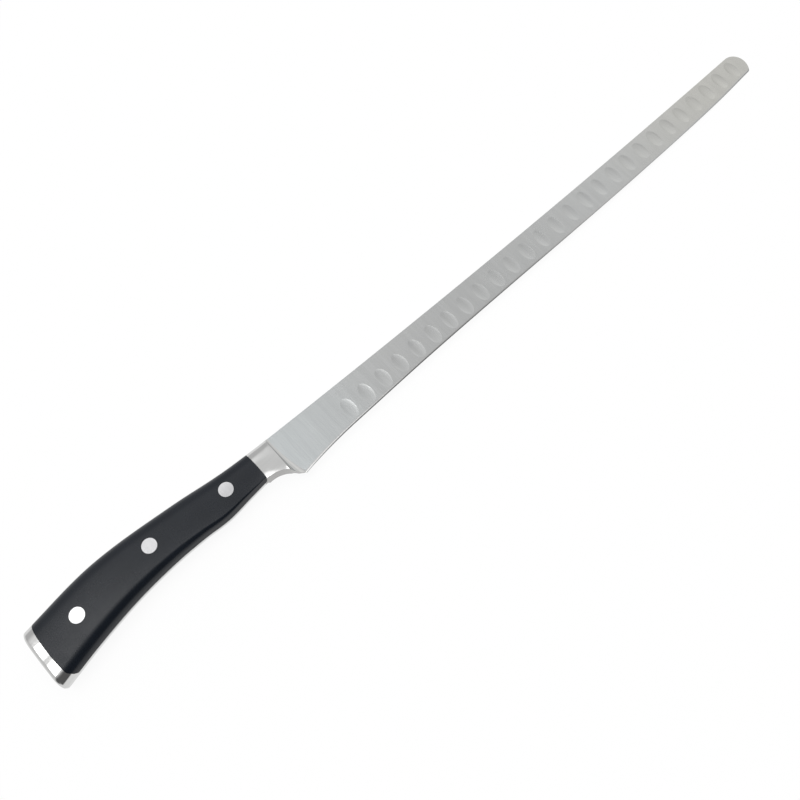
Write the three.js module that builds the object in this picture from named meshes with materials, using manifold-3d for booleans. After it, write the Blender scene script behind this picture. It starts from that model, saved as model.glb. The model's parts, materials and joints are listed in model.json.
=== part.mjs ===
// Ham slicing knife: one steel forging (blade, half bolster, full tang and rear bolster),
// two scales and three two-part rivets, lying on its side as it does on a table.
// Millimetres. The pieces are drawn with X from the bolster to the tip, Y to the spine and
// Z out of the blade's side. X is 0 at the plunge line, where the bolster ends and the blade
// begins, and Y is 0 on the row of scallops.

import * as THREE from 'three';
import { mergeVertices } from 'three/addons/utils/BufferGeometryUtils.js';
import Module from 'manifold-3d';

const wasm = await Module();
wasm.setup();

// Main lengths, from the plunge line
const bladeLength = 319.5;
const gripLength = 125;
const bolsterLength = 10.6;
const capLength = 4.8;

// Blade outline: the spine above the row of scallops, the edge below it
const spineAtPlunge = 14.2;
const spineAtTip = 6.9;
const spineRunOut = 300;
const heelOverhang = 3.6;
const heelDrop = 9.2;
const heelSweep = 34;
const edgeAfterSweep = 6.95;
const edgeHollow = 6.6;
const edgeHollowAt = 80;
const edgeBelly = 8.55;
const edgeBellyFromTip = 94;
const edgeRise = 7.95;
const edgeRiseFromTip = 30;
const edgeAtTip = 6.55;
const tipRadius = 6.9;
const tipSlant = 1.8;
const tipCorner = 2;

// Blade section: a flat taper from spine to edge, then a narrow sharpening bevel
const spineThickness = 2.1;
const edgeThickness = 0.36;
const bevelAtHeel = 1;
const bevelAtTip = 0.5;
const keenThickness = 0.06;

// Oval scallops ground into both sides, those of the lower side half a pitch further on
const scallopPitch = 10.5;
const scallopStart = 37;
const scallopTipMargin = 9;
const scallopWidth = 6;
const scallopHeight = 10.4;
const scallopDepth = 0.22;

// Front of the bolster, and the finger curve that runs from the belly to the heel
const bolsterFrontThickness = 9;
const plungeSetback = 0.5;
const plungeSetbackAtHeel = 1.1;
const plungeFillet = 1.6;
const plungeFilletAtHeel = 3.4;
const plungeDraft = 0.02;
const fingerRadius = 12.3;
const fingerArcAt = 9.6;
const fingerArcSetback = 0.9;
const heelAngle = THREE.MathUtils.degToRad(41.5);
const heelShoulder = 0.9;

// Grip outline: the spine side, then the belly side
const spineAtButt = 19.1;
const spineSwell = 22.52;
const spineSwellFromButt = 37;
const spineMid = 19.35;
const spineMidAt = 48;
const spineNeck = 15.72;
const spineNeckAt = 21.5;
const bellyAtButt = -9.95;
const bellyRear = -5.35;
const bellyRearFromButt = 22.5;
const bellyFlank = -2.2;
const bellyFlankAt = 82;
const bellyWaist = -0.7;
const bellyWaistAt = 61;
const bellyRise = -1.1;
const bellyRiseAt = 46;
const bellyKnuckle = -2.2;
const bellyKnuckleAt = 34;
const bellyFinger = -0.95;
const bellyFingerAt = 21.5;
const bellyFront = -0.4;

// Grip thickness, and the tilt that its crowned sides reach next to their long corners
const thicknessAtButt = 12.2;
const thicknessAtSwell = 13.2;
const thicknessAtFront = 9.5;
const sideTilt = THREE.MathUtils.degToRad(4.5);
const sideTiltAtBolster = THREE.MathUtils.degToRad(11.5);
const sideTiltAtPlunge = THREE.MathUtils.degToRad(7.5);
const sideTiltFade = 20;

// Long corners: the spine's is drawn out down the side, the belly's opens out towards the butt,
// and behind the bolster the underside leans in to the tang
const spineRound = 4.2;
const spineRoundAtPlunge = 3.2;
const spineStretch = 1.7;
const bellyRoundAtButt = 6;
const bellyRoundMid = 4.8;
const bellyRoundMidAt = 70;
const bellyRoundFront = 1.4;
const bellyRoundFrontAt = 25;
const bellyRoundAtBolster = 0.2;
const undersideLean = THREE.MathUtils.degToRad(18);
const undersideLeanFade = 2.5;
const buttRound = 1.7;

// Tang, and the outline of the scales let in between the two bolsters
const tangThickness = 2.4;
const scaleFrontBow = 0.15;
const scaleRearBow = 0.5;
const scaleCornerFrontSpine = 1.2;
const scaleCornerFrontBelly = 0.7;
const scaleFrontSweep = 4;
const scaleCornerRearSpine = 2.2;
const scaleCornerRearBelly = 3.2;
const seatGap = 0.1;

// Two-part rivets: a pin with a head, pressed into a sleeve with a head
const rivetHead = 6.6;
const rivetHeadDepth = 2.4;
const sleeveOuter = 4.6;
const sleeveBore = 3.2;
const rivetFrontMargin = 16.2;
const rivetRearMargin = 17;
const rivetRaise = 0.75;
const rivetRaiseFront = 0.4;
const rivetEndGap = 0.5;

// Fineness of the facets
const cornerSteps = 6;
const sideSteps = 4;
const roundSides = 28;
const scallopSides = 14;
const gripSteps = 22;
const outlineSteps = 26;

// Room that a cutting tool keeps around what it cuts, how far joined bodies run into each other,
// and how near two points are one
const toolRoom = 40;
const overlap = 0.03;
const weldDistance = 1e-4;

// Evenly spaced values from one end to the other
function steps(from, to, count) {
  return Array.from({ length: count + 1 }, (_, i) => from + (to - from) * i / count);
}

// A smooth line through a few points, in order of X
function lineThrough(points) {
  const places = points.map(([x]) => x);
  const heights = points.map(([, y]) => y);
  const line = new THREE.CubicInterpolant(places, heights, 1);
  return (x) => line.evaluate(x)[0];
}

function solidOf(geometry) {
  geometry.deleteAttribute('normal');
  geometry.deleteAttribute('uv');
  const merged = mergeVertices(geometry, weldDistance);
  const vertProperties = Float32Array.from(merged.attributes.position.array);
  const triVerts = Uint32Array.from(merged.index.array);
  return new wasm.Manifold(new wasm.Mesh({ numProp: 3, vertProperties, triVerts }));
}

function geometryOf(solid) {
  const { vertProperties, triVerts } = solid.getMesh();
  const geometry = new THREE.BufferGeometry();
  geometry.setAttribute('position', new THREE.BufferAttribute(vertProperties, 3));
  geometry.setIndex(new THREE.BufferAttribute(triVerts, 1));
  geometry.computeVertexNormals();
  return geometry;
}

// A closed skin over rings of equally many points, with flat ends
function loft(rings) {
  const size = rings[0].length;
  const faces = [];
  for (let ring = 0; ring < rings.length - 1; ring += 1) {
    for (let i = 0; i < size; i += 1) {
      const a = ring * size + i;
      const b = ring * size + (i + 1) % size;
      faces.push(a, b, b + size, a, b + size, a + size);
    }
  }
  const endFaces = (ring) => {
    const section = ring.map((p) => new THREE.Vector2(p.y, p.z));
    return THREE.ShapeUtils.triangulateShape(section, []);
  };
  const last = (rings.length - 1) * size;
  endFaces(rings[0]).forEach(([a, b, c]) => faces.push(a, c, b));
  endFaces(rings.at(-1)).forEach(([a, b, c]) => faces.push(last + a, last + b, last + c));
  const geometry = new THREE.BufferGeometry().setFromPoints(rings.flat());
  geometry.setIndex(faces);
  return solidOf(geometry);
}

// A plan outline raised from one height to another
function plate(shape, bottom, top) {
  const geometry = new THREE.ExtrudeGeometry(shape, {
    depth: top - bottom,
    bevelEnabled: false,
    curveSegments: cornerSteps,
  });
  return solidOf(geometry.translate(0, 0, bottom));
}

// An upright round bar between two heights
function bar(place, diameter, bottom, top) {
  const geometry = new THREE.CylinderGeometry(diameter / 2, diameter / 2, top - bottom, roundSides);
  geometry.rotateX(Math.PI / 2);
  return solidOf(geometry.translate(place.x, place.y, (bottom + top) / 2));
}

// Blade lines in plan. The spine falls in a parabola and runs out level, and the edge sweeps
// up from the heel in another before it follows its own shallow curve.
const edgeEnd = bladeLength - tipSlant - tipCorner;
const edgeCurve = lineThrough([
  [heelOverhang + heelSweep, -edgeAfterSweep],
  [edgeHollowAt, -edgeHollow],
  [bladeLength - edgeBellyFromTip, -edgeBelly],
  [bladeLength - edgeRiseFromTip, -edgeRise],
  [edgeEnd, -edgeAtTip],
]);

function bladeSpine(x) {
  return spineAtTip + (spineAtPlunge - spineAtTip) * Math.max(0, 1 - x / spineRunOut) ** 2;
}

function bladeEdge(x) {
  const sweep = Math.max(0, 1 - (x - heelOverhang) / heelSweep);
  return edgeCurve(x) - (heelDrop - edgeAfterSweep) * sweep ** 2;
}

// Half the blade's thickness: its sides are two flat planes
const taper = (spineThickness - edgeThickness) / 2 / (spineAtPlunge + edgeBelly);

function bladeHalf(y) {
  return edgeThickness / 2 + taper * (y + edgeBelly);
}

// Finger curve: an arc that leaves the belly level, a short step across the plunge line, and the
// straight back of the heel
function fingerArc(x) {
  const along = Math.max(0, x + fingerArcAt);
  return bellyFront - fingerRadius + Math.sqrt(fingerRadius ** 2 - along ** 2);
}

function heelLine(x) {
  return -heelDrop + (heelOverhang - x) * Math.tan(heelAngle);
}

function fingerCurve(x) {
  if (x < -fingerArcSetback) {
    return fingerArc(x);
  }
  const step = Math.min(1, (x + fingerArcSetback) / (heelShoulder + fingerArcSetback));
  const stepped = THREE.MathUtils.lerp(fingerArc(-fingerArcSetback), heelLine(heelShoulder), step);
  return step < 1 ? stepped : heelLine(x);
}

// Grip lines in plan
const gripSpine = lineThrough([
  [-gripLength, spineAtButt],
  [spineSwellFromButt - gripLength, spineSwell],
  [-spineMidAt, spineMid],
  [-spineNeckAt, spineNeck],
  [0, spineAtPlunge],
  [bolsterLength, bladeSpine(bolsterLength)],
]);

const gripBelly = lineThrough([
  [-gripLength, bellyAtButt],
  [bellyRearFromButt - gripLength, bellyRear],
  [-bellyFlankAt, bellyFlank],
  [-bellyWaistAt, bellyWaist],
  [-bellyRiseAt, bellyRise],
  [-bellyKnuckleAt, bellyKnuckle],
  [-bellyFingerAt, bellyFinger],
  [-fingerArcAt, bellyFront],
]);

// Below the finger curve the forging is left proud, for the finger cut to trim
const fingerAllowance = 0.3;

function forgedBelly(x) {
  const past = x + fingerArcAt;
  return past < 0 ? gripBelly(x) : fingerCurve(x) - past * fingerAllowance;
}

// Half the grip's thickness: full along the scales, then a straight taper down the bolster
const gripHalf = lineThrough([
  [-gripLength, thicknessAtButt / 2],
  [spineSwellFromButt - gripLength, thicknessAtSwell / 2],
  [-bolsterLength, thicknessAtFront / 2],
]);

// How far along the bolster a place is: 0 from the plunge line on, 1 at the scales and behind
function bolsterShare(x) {
  return THREE.MathUtils.clamp(-x / bolsterLength, 0, 1);
}

function forgedHalf(x) {
  const share = bolsterShare(x);
  return share < 1 ? THREE.MathUtils.lerp(bolsterFrontThickness, thicknessAtFront, share) / 2 : gripHalf(x);
}

function spineCorner(x) {
  return THREE.MathUtils.lerp(spineRoundAtPlunge, spineRound, bolsterShare(x));
}

const bellyCorner = lineThrough([
  [-gripLength, bellyRoundAtButt],
  [-bellyRoundMidAt, bellyRoundMid],
  [-bellyRoundFrontAt, bellyRoundFront],
  [-bolsterLength, bellyRoundAtBolster],
]);

// How far a change that starts at the bolster's rear has come, a given length behind it
function behindBolster(x, length) {
  return THREE.MathUtils.smoothstep(-x, bolsterLength, bolsterLength + length);
}

// Tilt of the side where the belly corner begins
function bellyTilt(x) {
  const onBolster = THREE.MathUtils.lerp(sideTiltAtPlunge, sideTiltAtBolster, bolsterShare(x));
  return THREE.MathUtils.lerp(onBolster, sideTilt, behindBolster(x, sideTiltFade));
}

// One section of the grip: flat back, spine corner, crowned side, belly corner and underside.
// The spine corner is part of an ellipse and the belly corner an arc. Both leave the side with its
// own tilt, and the arc ends with the lean of the underside.
function gripRing(x, inset = 0) {
  const half = forgedHalf(x) - inset;
  const top = gripSpine(x) - inset;
  const bottom = forgedBelly(x) + inset;
  const tang = tangThickness / 2;
  const lean = undersideLean * behindBolster(x, undersideLeanFade);
  const tilt = bellyTilt(x);
  const spineSlope = Math.tan(sideTilt);
  const bellySlope = Math.tan(tilt);
  const bend = 2 * (spineSlope + bellySlope);

  const spineDepth = Math.min(spineCorner(x), half - bladeHalf(top));
  const spineDrop = spineDepth * spineStretch;
  const spineTurn = Math.atan2(spineDepth, spineDrop * spineSlope);
  const spineEnd = top - spineDrop * (1 - Math.cos(spineTurn));

  const sag = bellySlope ** 2 / bend;
  const room = half - sag * (top - bottom) - tang;
  const bellyR = Math.min(bellyCorner(x), room / (Math.cos(tilt) - Math.sin(lean)));
  const swing = bellyR / Math.cos(lean) - bellyR * Math.sin(tilt);
  const foot = bottom + swing - (bellyR * Math.cos(tilt) + tang) * Math.tan(lean);
  const bellySide = (half - sag * (spineEnd - foot)) / (1 - sag * Math.tan(lean));
  const bellyStart = foot + bellySide * Math.tan(lean);
  const length = spineEnd - bellyStart;
  const spineSide = half - length * spineSlope ** 2 / bend;

  const outer = steps(0, spineTurn, cornerSteps).map((a) => [
    top - spineDrop * (1 - Math.cos(a)),
    spineSide - spineDepth * (Math.sin(spineTurn) - Math.sin(a)),
  ]);
  for (const u of steps(0, 1, sideSteps).slice(1, -1)) {
    outer.push([spineEnd - length * u, spineSide + length * (spineSlope * u - bend * u ** 2 / 4)]);
  }
  for (const a of steps(tilt, Math.PI / 2 - lean, cornerSteps)) {
    const y = bellyStart - bellyR * (Math.sin(a) - Math.sin(tilt));
    outer.push([y, bellySide - bellyR * (Math.cos(tilt) - Math.cos(a))]);
  }
  outer.push([bottom, tang]);
  const upper = outer.map(([y, z]) => new THREE.Vector3(x, y, z));
  const lower = outer.map(([y, z]) => new THREE.Vector3(x, y, -z));
  return [...upper, ...lower.reverse()];
}

// Front edge of the bolster, a little behind the plunge line and slanted to the heel
function bolsterFront(y) {
  return THREE.MathUtils.mapLinear(y, spineAtPlunge, -heelDrop, -plungeSetback, -plungeSetbackAtHeel);
}

// Sections of the bolster lean more and more, until the last lies along the front edge
function bolsterRing(x) {
  const share = 1 + x / fingerArcAt;
  return gripRing(x).map((p) => p.setX(x + share * bolsterFront(p.y)));
}

// The bolster's front drops steeply towards the blade and meets it in a hollow fillet, which opens
// out towards the heel
function filletRing(share) {
  return gripRing(0).map((p) => {
    const radius = THREE.MathUtils.mapLinear(p.y, spineAtPlunge, -heelDrop, plungeFillet, plungeFilletAtHeel);
    const height = radius * (1 - Math.sqrt(1 - (1 - share) ** 2));
    const x = bolsterFront(p.y) + THREE.MathUtils.lerp(plungeDraft, radius, share);
    const y = Math.min(p.y, bladeSpine(x) - overlap * share);
    const floor = bladeHalf(y) - overlap;
    return new THREE.Vector3(x, y, Math.sign(p.z) * Math.min(Math.abs(p.z), floor + height));
  });
}

// The whole grip as one lofted body: rounded butt, scales, bolster and plunge fillet
function gripBody() {
  const butt = steps(0, Math.PI / 2, cornerSteps).map((a) => {
    return gripRing(-gripLength + buttRound * (1 - Math.cos(a)), buttRound * (1 - Math.sin(a)));
  });
  const leanFull = -bolsterLength - undersideLeanFade;
  const along = steps(buttRound - gripLength, leanFull, gripSteps).slice(1).map((x) => gripRing(x));
  const bolster = steps(-fingerArcAt, 0, cornerSteps).map(bolsterRing);
  const fillet = steps(0, 1, cornerSteps).map(filletRing);
  return loft([...butt, ...along, gripRing(-bolsterLength), ...bolster, ...fillet]);
}

// Plan outline of the scales, up to a given clearance outside them. It is open towards the
// spine and the belly, where the scales are flush with the grip.
function scaleZone(clearance) {
  const front = -bolsterLength - scaleFrontBow;
  const rear = capLength - gripLength + scaleRearBow;
  const shape = new THREE.Shape();
  const corner = (endX, inward, line, side, from, across, along = across) => {
    const x = endX + inward * along;
    const y = line(x) - side * across;
    const quarter = Math.PI / 2;
    return steps(from, from + quarter, cornerSteps).map((a) => {
      return [x + (along + clearance) * Math.cos(a), y + (across + clearance) * Math.sin(a)];
    });
  };
  const frontSpine = corner(front, -1, gripSpine, 1, 0, scaleCornerFrontSpine);
  const rearSpine = corner(rear, 1, gripSpine, 1, Math.PI / 2, scaleCornerRearSpine);
  const rearBelly = corner(rear, 1, gripBelly, -1, Math.PI, scaleCornerRearBelly);
  const frontBelly = corner(front, -1, gripBelly, -1, 1.5 * Math.PI, scaleCornerFrontBelly, scaleFrontSweep);
  const follow = (points) => points.forEach(([x, y]) => shape.lineTo(x, y));
  const bowTo = (bow, [x, y]) => {
    const middle = (shape.currentPoint.y + y) / 2;
    shape.quadraticCurveTo(x + 2 * bow, middle, x, y);
  };
  shape.moveTo(...frontBelly.at(-1));
  bowTo(scaleFrontBow, frontSpine[0]);
  follow(frontSpine);
  shape.lineTo(frontSpine.at(-1)[0], toolRoom);
  shape.lineTo(rearSpine[0][0], toolRoom);
  follow(rearSpine);
  bowTo(-scaleRearBow, rearBelly[0]);
  follow(rearBelly);
  shape.lineTo(rearBelly.at(-1)[0], -toolRoom);
  shape.lineTo(frontBelly[0][0], -toolRoom);
  follow(frontBelly);
  return shape;
}

// Blade outline in plan. Its root is a tongue inside the bolster.
function bladeOutline() {
  const root = -bolsterLength / 2;
  const tongueTop = spineAtPlunge - bolsterFrontThickness / 2;
  const rise = plungeFillet / 8;
  const tipCentre = bladeLength - tipRadius;
  const shape = new THREE.Shape();
  shape.moveTo(root, tongueTop);
  shape.lineTo(rise, tongueTop);
  steps(rise, tipCentre, outlineSteps).forEach((x) => shape.lineTo(x, bladeSpine(x)));
  shape.absarc(tipCentre, spineAtTip - tipRadius, tipRadius, Math.PI / 2, 0, true);
  const slantEnd = tipCorner - edgeAtTip;
  shape.quadraticCurveTo(bladeLength, slantEnd / 2, bladeLength - tipSlant, slantEnd);
  shape.quadraticCurveTo(bladeLength - tipSlant, -edgeAtTip, edgeEnd, bladeEdge(edgeEnd));
  steps(edgeEnd, heelOverhang + heelSweep, outlineSteps).forEach((x) => shape.lineTo(x, bladeEdge(x)));
  steps(heelOverhang + heelSweep, heelOverhang, cornerSteps).forEach((x) => shape.lineTo(x, bladeEdge(x)));
  shape.lineTo(root, -heelDrop - bevelAtHeel);
  return shape;
}

// A long bar whose sides are the blade's two planes
function bladeTaper() {
  const high = spineAtPlunge + bevelAtHeel;
  const low = -heelDrop - 2 * bevelAtHeel;
  const corners = [[high, 1], [low, 1], [low, -1], [high, -1]];
  const ends = [-bolsterLength, bladeLength + toolRoom];
  return loft(ends.map((x) => corners.map(([y, side]) => new THREE.Vector3(x, y, side * bladeHalf(y)))));
}

// The stone that grinds the sharpening bevel on one side, from behind the heel past the tip
function bevelStone(side) {
  const places = [
    -bolsterLength,
    ...steps(heelOverhang, heelOverhang + heelSweep, cornerSteps),
    ...steps(heelOverhang + heelSweep, edgeEnd, outlineSteps).slice(1),
    bladeLength + toolRoom,
  ];
  const rings = places.map((x) => {
    const along = THREE.MathUtils.clamp(x, heelOverhang, edgeEnd);
    const edge = bladeEdge(along);
    const bevel = THREE.MathUtils.mapLinear(along, heelOverhang, edgeEnd, bevelAtHeel, bevelAtTip);
    const shoulder = edge + bevel;
    const slope = (bladeHalf(shoulder) - keenThickness / 2) / bevel;
    const low = edge - 2 * bevel;
    const lowHeight = keenThickness / 2 - 2 * bevel * slope;
    const outside = [[shoulder, spineThickness], [low, spineThickness]];
    const ground = [[low, lowHeight], [shoulder, bladeHalf(shoulder)]];
    const points = [...outside, ...ground].map(([y, z]) => new THREE.Vector3(x, y, side * z));
    return side > 0 ? points : points.reverse();
  });
  return loft(rings);
}

// One scallop: a shallow oval dish, square to the side of the blade that it is ground into.
// Its wall runs straight on from the bend through the rim, to clear the blade's side.
function scallopWheel(x, side) {
  const bend = 0.6;
  const clear = 1.3;
  const bendDepth = scallopDepth * (1 - bend ** 2);
  const clearHeight = bendDepth * (clear - 1) / (1 - bend);
  const profile = [[0, -scallopDepth], [bend, -bendDepth], [clear, clearHeight], [0, clearHeight]];
  const geometry = new THREE.LatheGeometry(profile.map((p) => new THREE.Vector2(...p)), scallopSides);
  geometry.rotateX(side * Math.PI / 2);
  geometry.scale(scallopWidth / 2, scallopHeight / 2, 1);
  geometry.rotateX(side * Math.atan(taper));
  return solidOf(geometry.translate(x, 0, side * bladeHalf(0)));
}

function bladeBody() {
  let blade = plate(bladeOutline(), -spineThickness, spineThickness).intersect(bladeTaper());
  for (const side of [1, -1]) {
    blade = blade.subtract(bevelStone(side));
    const first = scallopStart + (side < 0 ? scallopPitch / 2 : 0);
    for (let x = first; x < bladeLength - scallopTipMargin; x += scallopPitch) {
      blade = blade.subtract(scallopWheel(x, side));
    }
  }
  return blade;
}

// The tool that cuts the finger curve through bolster and heel
function fingerCut() {
  const shape = new THREE.Shape();
  const start = bellyFront - overlap;
  const turn = Math.asin((fingerArcAt - fingerArcSetback) / fingerRadius);
  const beyond = heelOverhang + heelDrop;
  shape.moveTo(-fingerArcAt, start);
  shape.absarc(-fingerArcAt, start - fingerRadius, fingerRadius, Math.PI / 2, Math.PI / 2 - turn, true);
  shape.lineTo(heelShoulder, heelLine(heelShoulder));
  shape.lineTo(beyond, heelLine(beyond));
  shape.lineTo(beyond, -toolRoom);
  shape.lineTo(-fingerArcAt, -toolRoom);
  return plate(shape, -toolRoom, toolRoom);
}

// Rivets stand a little above the middle line of the grip: front and rear by their margins, the
// third between
function rivetPlace(x, raise) {
  const middle = (gripSpine(x) + gripBelly(x)) / 2;
  return { x, y: middle + raise, seat: gripHalf(x) - rivetHeadDepth };
}

const frontRivet = -bolsterLength - rivetFrontMargin;
const rearRivet = capLength + rivetRearMargin - gripLength;
const rivets = {
  front: rivetPlace(frontRivet, rivetRaiseFront),
  middle: rivetPlace((frontRivet + rearRivet) / 2, rivetRaise),
  rear: rivetPlace(rearRivet, rivetRaise),
};
const rivetHole = sleeveOuter + 2 * seatGap;
const rivetRecess = rivetHead + 2 * seatGap;

function forging(grip) {
  const tang = tangThickness / 2;
  const pocket = scaleZone(seatGap);
  let steel = grip.subtract(plate(pocket, tang, toolRoom)).subtract(plate(pocket, -toolRoom, -tang));
  steel = steel.add(bladeBody()).subtract(fingerCut());
  for (const place of Object.values(rivets)) {
    steel = steel.subtract(bar(place, rivetHole, -tangThickness, tangThickness));
  }
  return steel;
}

// One scale: the grip between the bolsters on one side of the tang, bored for the rivets
function scale(grip, side) {
  const inner = tangThickness / 2 + seatGap;
  const span = (from, to) => (side > 0 ? [from, to] : [-to, -from]);
  let body = grip.intersect(plate(scaleZone(0), ...span(inner, toolRoom)));
  for (const place of Object.values(rivets)) {
    body = body.subtract(bar(place, rivetHole, ...span(0, toolRoom)));
    body = body.subtract(bar(place, rivetRecess, ...span(place.seat - seatGap, toolRoom)));
  }
  return body;
}

// Pin half of a rivet: its head is ground flush with the upper scale
function rivetPin(grip, place) {
  const shaftEnd = rivetEndGap - place.seat;
  const shaft = bar(place, sleeveBore - 2 * seatGap, shaftEnd, place.seat + rivetHeadDepth / 2);
  return bar(place, rivetHead, place.seat, toolRoom).add(shaft).intersect(grip);
}

// Sleeve half of a rivet: a head flush with the lower scale and a blind tube for the pin
function rivetSleeve(grip, place) {
  const mouth = place.seat - rivetEndGap;
  const tube = bar(place, sleeveOuter, -place.seat - rivetHeadDepth / 2, mouth);
  const head = bar(place, rivetHead, -toolRoom, -place.seat);
  return head.add(tube).intersect(grip).subtract(bar(place, sleeveBore, -place.seat, toolRoom));
}

const satinSteel = { color: 0xb6babb, roughness: 0.34, metalness: 1 };
const blackResin = { color: 0x2a2c2f, roughness: 0.45, metalness: 0 };
const brightSteel = { color: 0xd6d7da, roughness: 0.24, metalness: 1 };

function pieceOf(name, solid, finish) {
  const mesh = new THREE.Mesh(geometryOf(solid), new THREE.MeshStandardMaterial(finish));
  mesh.name = name;
  return mesh;
}

const grip = gripBody();
const knife = new THREE.Group();
knife.add(pieceOf('forged_blade_and_tang', forging(grip), satinSteel));
knife.add(pieceOf('scale_upper', scale(grip, 1), blackResin));
knife.add(pieceOf('scale_lower', scale(grip, -1), blackResin));
for (const [name, place] of Object.entries(rivets)) {
  knife.add(pieceOf(`rivet_pin_${name}`, rivetPin(grip, place), brightSteel));
  knife.add(pieceOf(`rivet_sleeve_${name}`, rivetSleeve(grip, place), brightSteel));
}

// Lying on its side, the knife tips forward until the lower scale and the blade's end both touch
// the table. The tilt is found by halving a range until both reach equally low.
function lowest(mesh, tilt, from) {
  const { array } = mesh.geometry.attributes.position;
  let low = Infinity;
  for (let i = 0; i < array.length; i += 3) {
    if (array[i] > from) {
      low = Math.min(low, array[i + 2] * Math.cos(tilt) - array[i] * Math.sin(tilt));
    }
  }
  return low;
}

function restTilt() {
  const [steel, , lowerScale] = knife.children;
  const halvings = 40;
  let level = 0;
  let steep = Math.atan(thicknessAtSwell / bladeLength);
  for (let round = 0; round < halvings; round += 1) {
    const tilt = (level + steep) / 2;
    if (lowest(steel, tilt, bladeLength / 2) > lowest(lowerScale, tilt, -gripLength)) {
      level = tilt;
    } else {
      steep = tilt;
    }
  }
  return (level + steep) / 2;
}

knife.rotation.y = restTilt();

// The origin is the middle of the knife's footprint, on the table
const hamKnife = new THREE.Group();
hamKnife.add(knife);
hamKnife.updateMatrixWorld(true);
const reach = new THREE.Box3().setFromObject(hamKnife, true);
knife.position.set(-(reach.min.x + reach.max.x) / 2, -(reach.min.y + reach.max.y) / 2, -reach.min.z);
hamKnife.updateMatrixWorld(true);

export default hamKnife;
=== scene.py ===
"""Ham slicing knife: a scalloped blade forged in one with its bolster, tang and butt cap, two dark
scales and three two-part rivets, lying on a pale studio floor.

The knife is drawn in its own frame, in metres: X from the bolster to the tip, Y to the spine and
Z out of the blade's side. X is 0 at the plunge line, where the bolster ends and the blade begins,
and Y is 0 on the row of scallops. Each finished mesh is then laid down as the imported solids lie."""

import bisect
import json
import math

import bmesh
import bpy
from mathutils import Matrix, Vector


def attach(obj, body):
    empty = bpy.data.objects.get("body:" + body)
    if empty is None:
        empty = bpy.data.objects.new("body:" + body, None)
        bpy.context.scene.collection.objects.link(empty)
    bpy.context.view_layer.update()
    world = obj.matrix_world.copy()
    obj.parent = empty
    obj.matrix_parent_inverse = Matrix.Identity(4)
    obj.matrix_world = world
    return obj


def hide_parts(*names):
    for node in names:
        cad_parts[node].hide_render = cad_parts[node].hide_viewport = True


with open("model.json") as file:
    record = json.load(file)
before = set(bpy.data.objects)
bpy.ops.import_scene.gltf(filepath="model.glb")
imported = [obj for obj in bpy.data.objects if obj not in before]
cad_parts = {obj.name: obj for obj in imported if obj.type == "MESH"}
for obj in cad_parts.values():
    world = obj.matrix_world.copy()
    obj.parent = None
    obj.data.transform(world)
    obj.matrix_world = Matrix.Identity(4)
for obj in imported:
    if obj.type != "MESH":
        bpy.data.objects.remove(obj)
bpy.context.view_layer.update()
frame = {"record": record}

bl_info = {
    "name": "Ham knife",
    "version": (1, 0, 0),
    "blender": (4, 5, 0),
    "location": "3D View > Sidebar > Ham knife",
    "description": "Makes a scalloped slicing knife with riveted scales, and a studio around it",
    "category": "Add Mesh",
}

# How far cutting tools reach past the knife
ROOM = 0.04
# How far bodies that are joined run into each other
OVERLAP = 0.00003
# Points closer than this are one
WELD = 0.0000005
# Sides of a round hole or rivet
ROUND_SIDES = 72
# Bend past which an edge stays hard, on most of the knife, among the scallops and at the bevel
CREASE = math.radians(30)
DISH_CREASE = math.radians(4.4)
BEVEL_CREASE = math.radians(6.2)
# A face whose normal has more Z than this lies flat, and one with less Y than this looks down
FLAT_FACE = 0.93
# Faces of the finger curve that look down get steel darkened with painted shade
SHADED_UNDERSIDE = -0.5
# Width and height of the picture
PICTURE = 800
# The camera's turn and place in the knife's own frame
CAMERA_VIEW = (
    (0.72342, 0.65032, -0.23183, -0.02736),
    (-0.69041, 0.68142, -0.24292, -0.10057),
    (0.0, 0.33579, 0.94194, 0.338997),
    (0.0, 0.0, 0.0, 1.0),
)
# Pieces that the lines of the plan outlines are drawn in
OUTLINE_STEPS = {
    "spine": 120, "tip": 28, "slant": 12, "corner": 10, "edge": 110, "sweep": 24,
    "finger": 30, "bow": 18,
}
# Sections of the grip's loft, from the butt to the blade
RING_STEPS = {"butt": 12, "grip": 104, "lean": 10, "bolster": 20, "break": 5, "fillet": 14}
# Steel varies between these multiples of its tone
STEEL_TONES = (0.96, 1.04)
# Along the blade, where its heel's and its tip's painted reflection tone is full and where it has
# faded out
HEEL_REFLECTION_FADE = (-0.1, -0.03)
TIP_REFLECTION_FADE = (0.2, 0.1)


def distance(name, words, millimetres):
    """A length that a user may change, held in metres."""
    return bpy.props.FloatProperty(
        name=name, description=words, default=millimetres / 1000,
        unit="LENGTH", subtype="DISTANCE", precision=5,
    )


def angle(name, words, degrees):
    """An angle that a user may change."""
    return bpy.props.FloatProperty(
        name=name, description=words, default=math.radians(degrees), subtype="ANGLE",
    )


def colour(name, words, value):
    """A colour that a user may change."""
    return bpy.props.FloatVectorProperty(
        name=name, description=words, default=value, size=3, min=0, max=1, subtype="COLOR",
    )


def share(name, words, value):
    """A share between none and all."""
    return bpy.props.FloatProperty(
        name=name, description=words, default=value, min=0, max=1, subtype="FACTOR",
    )


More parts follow.
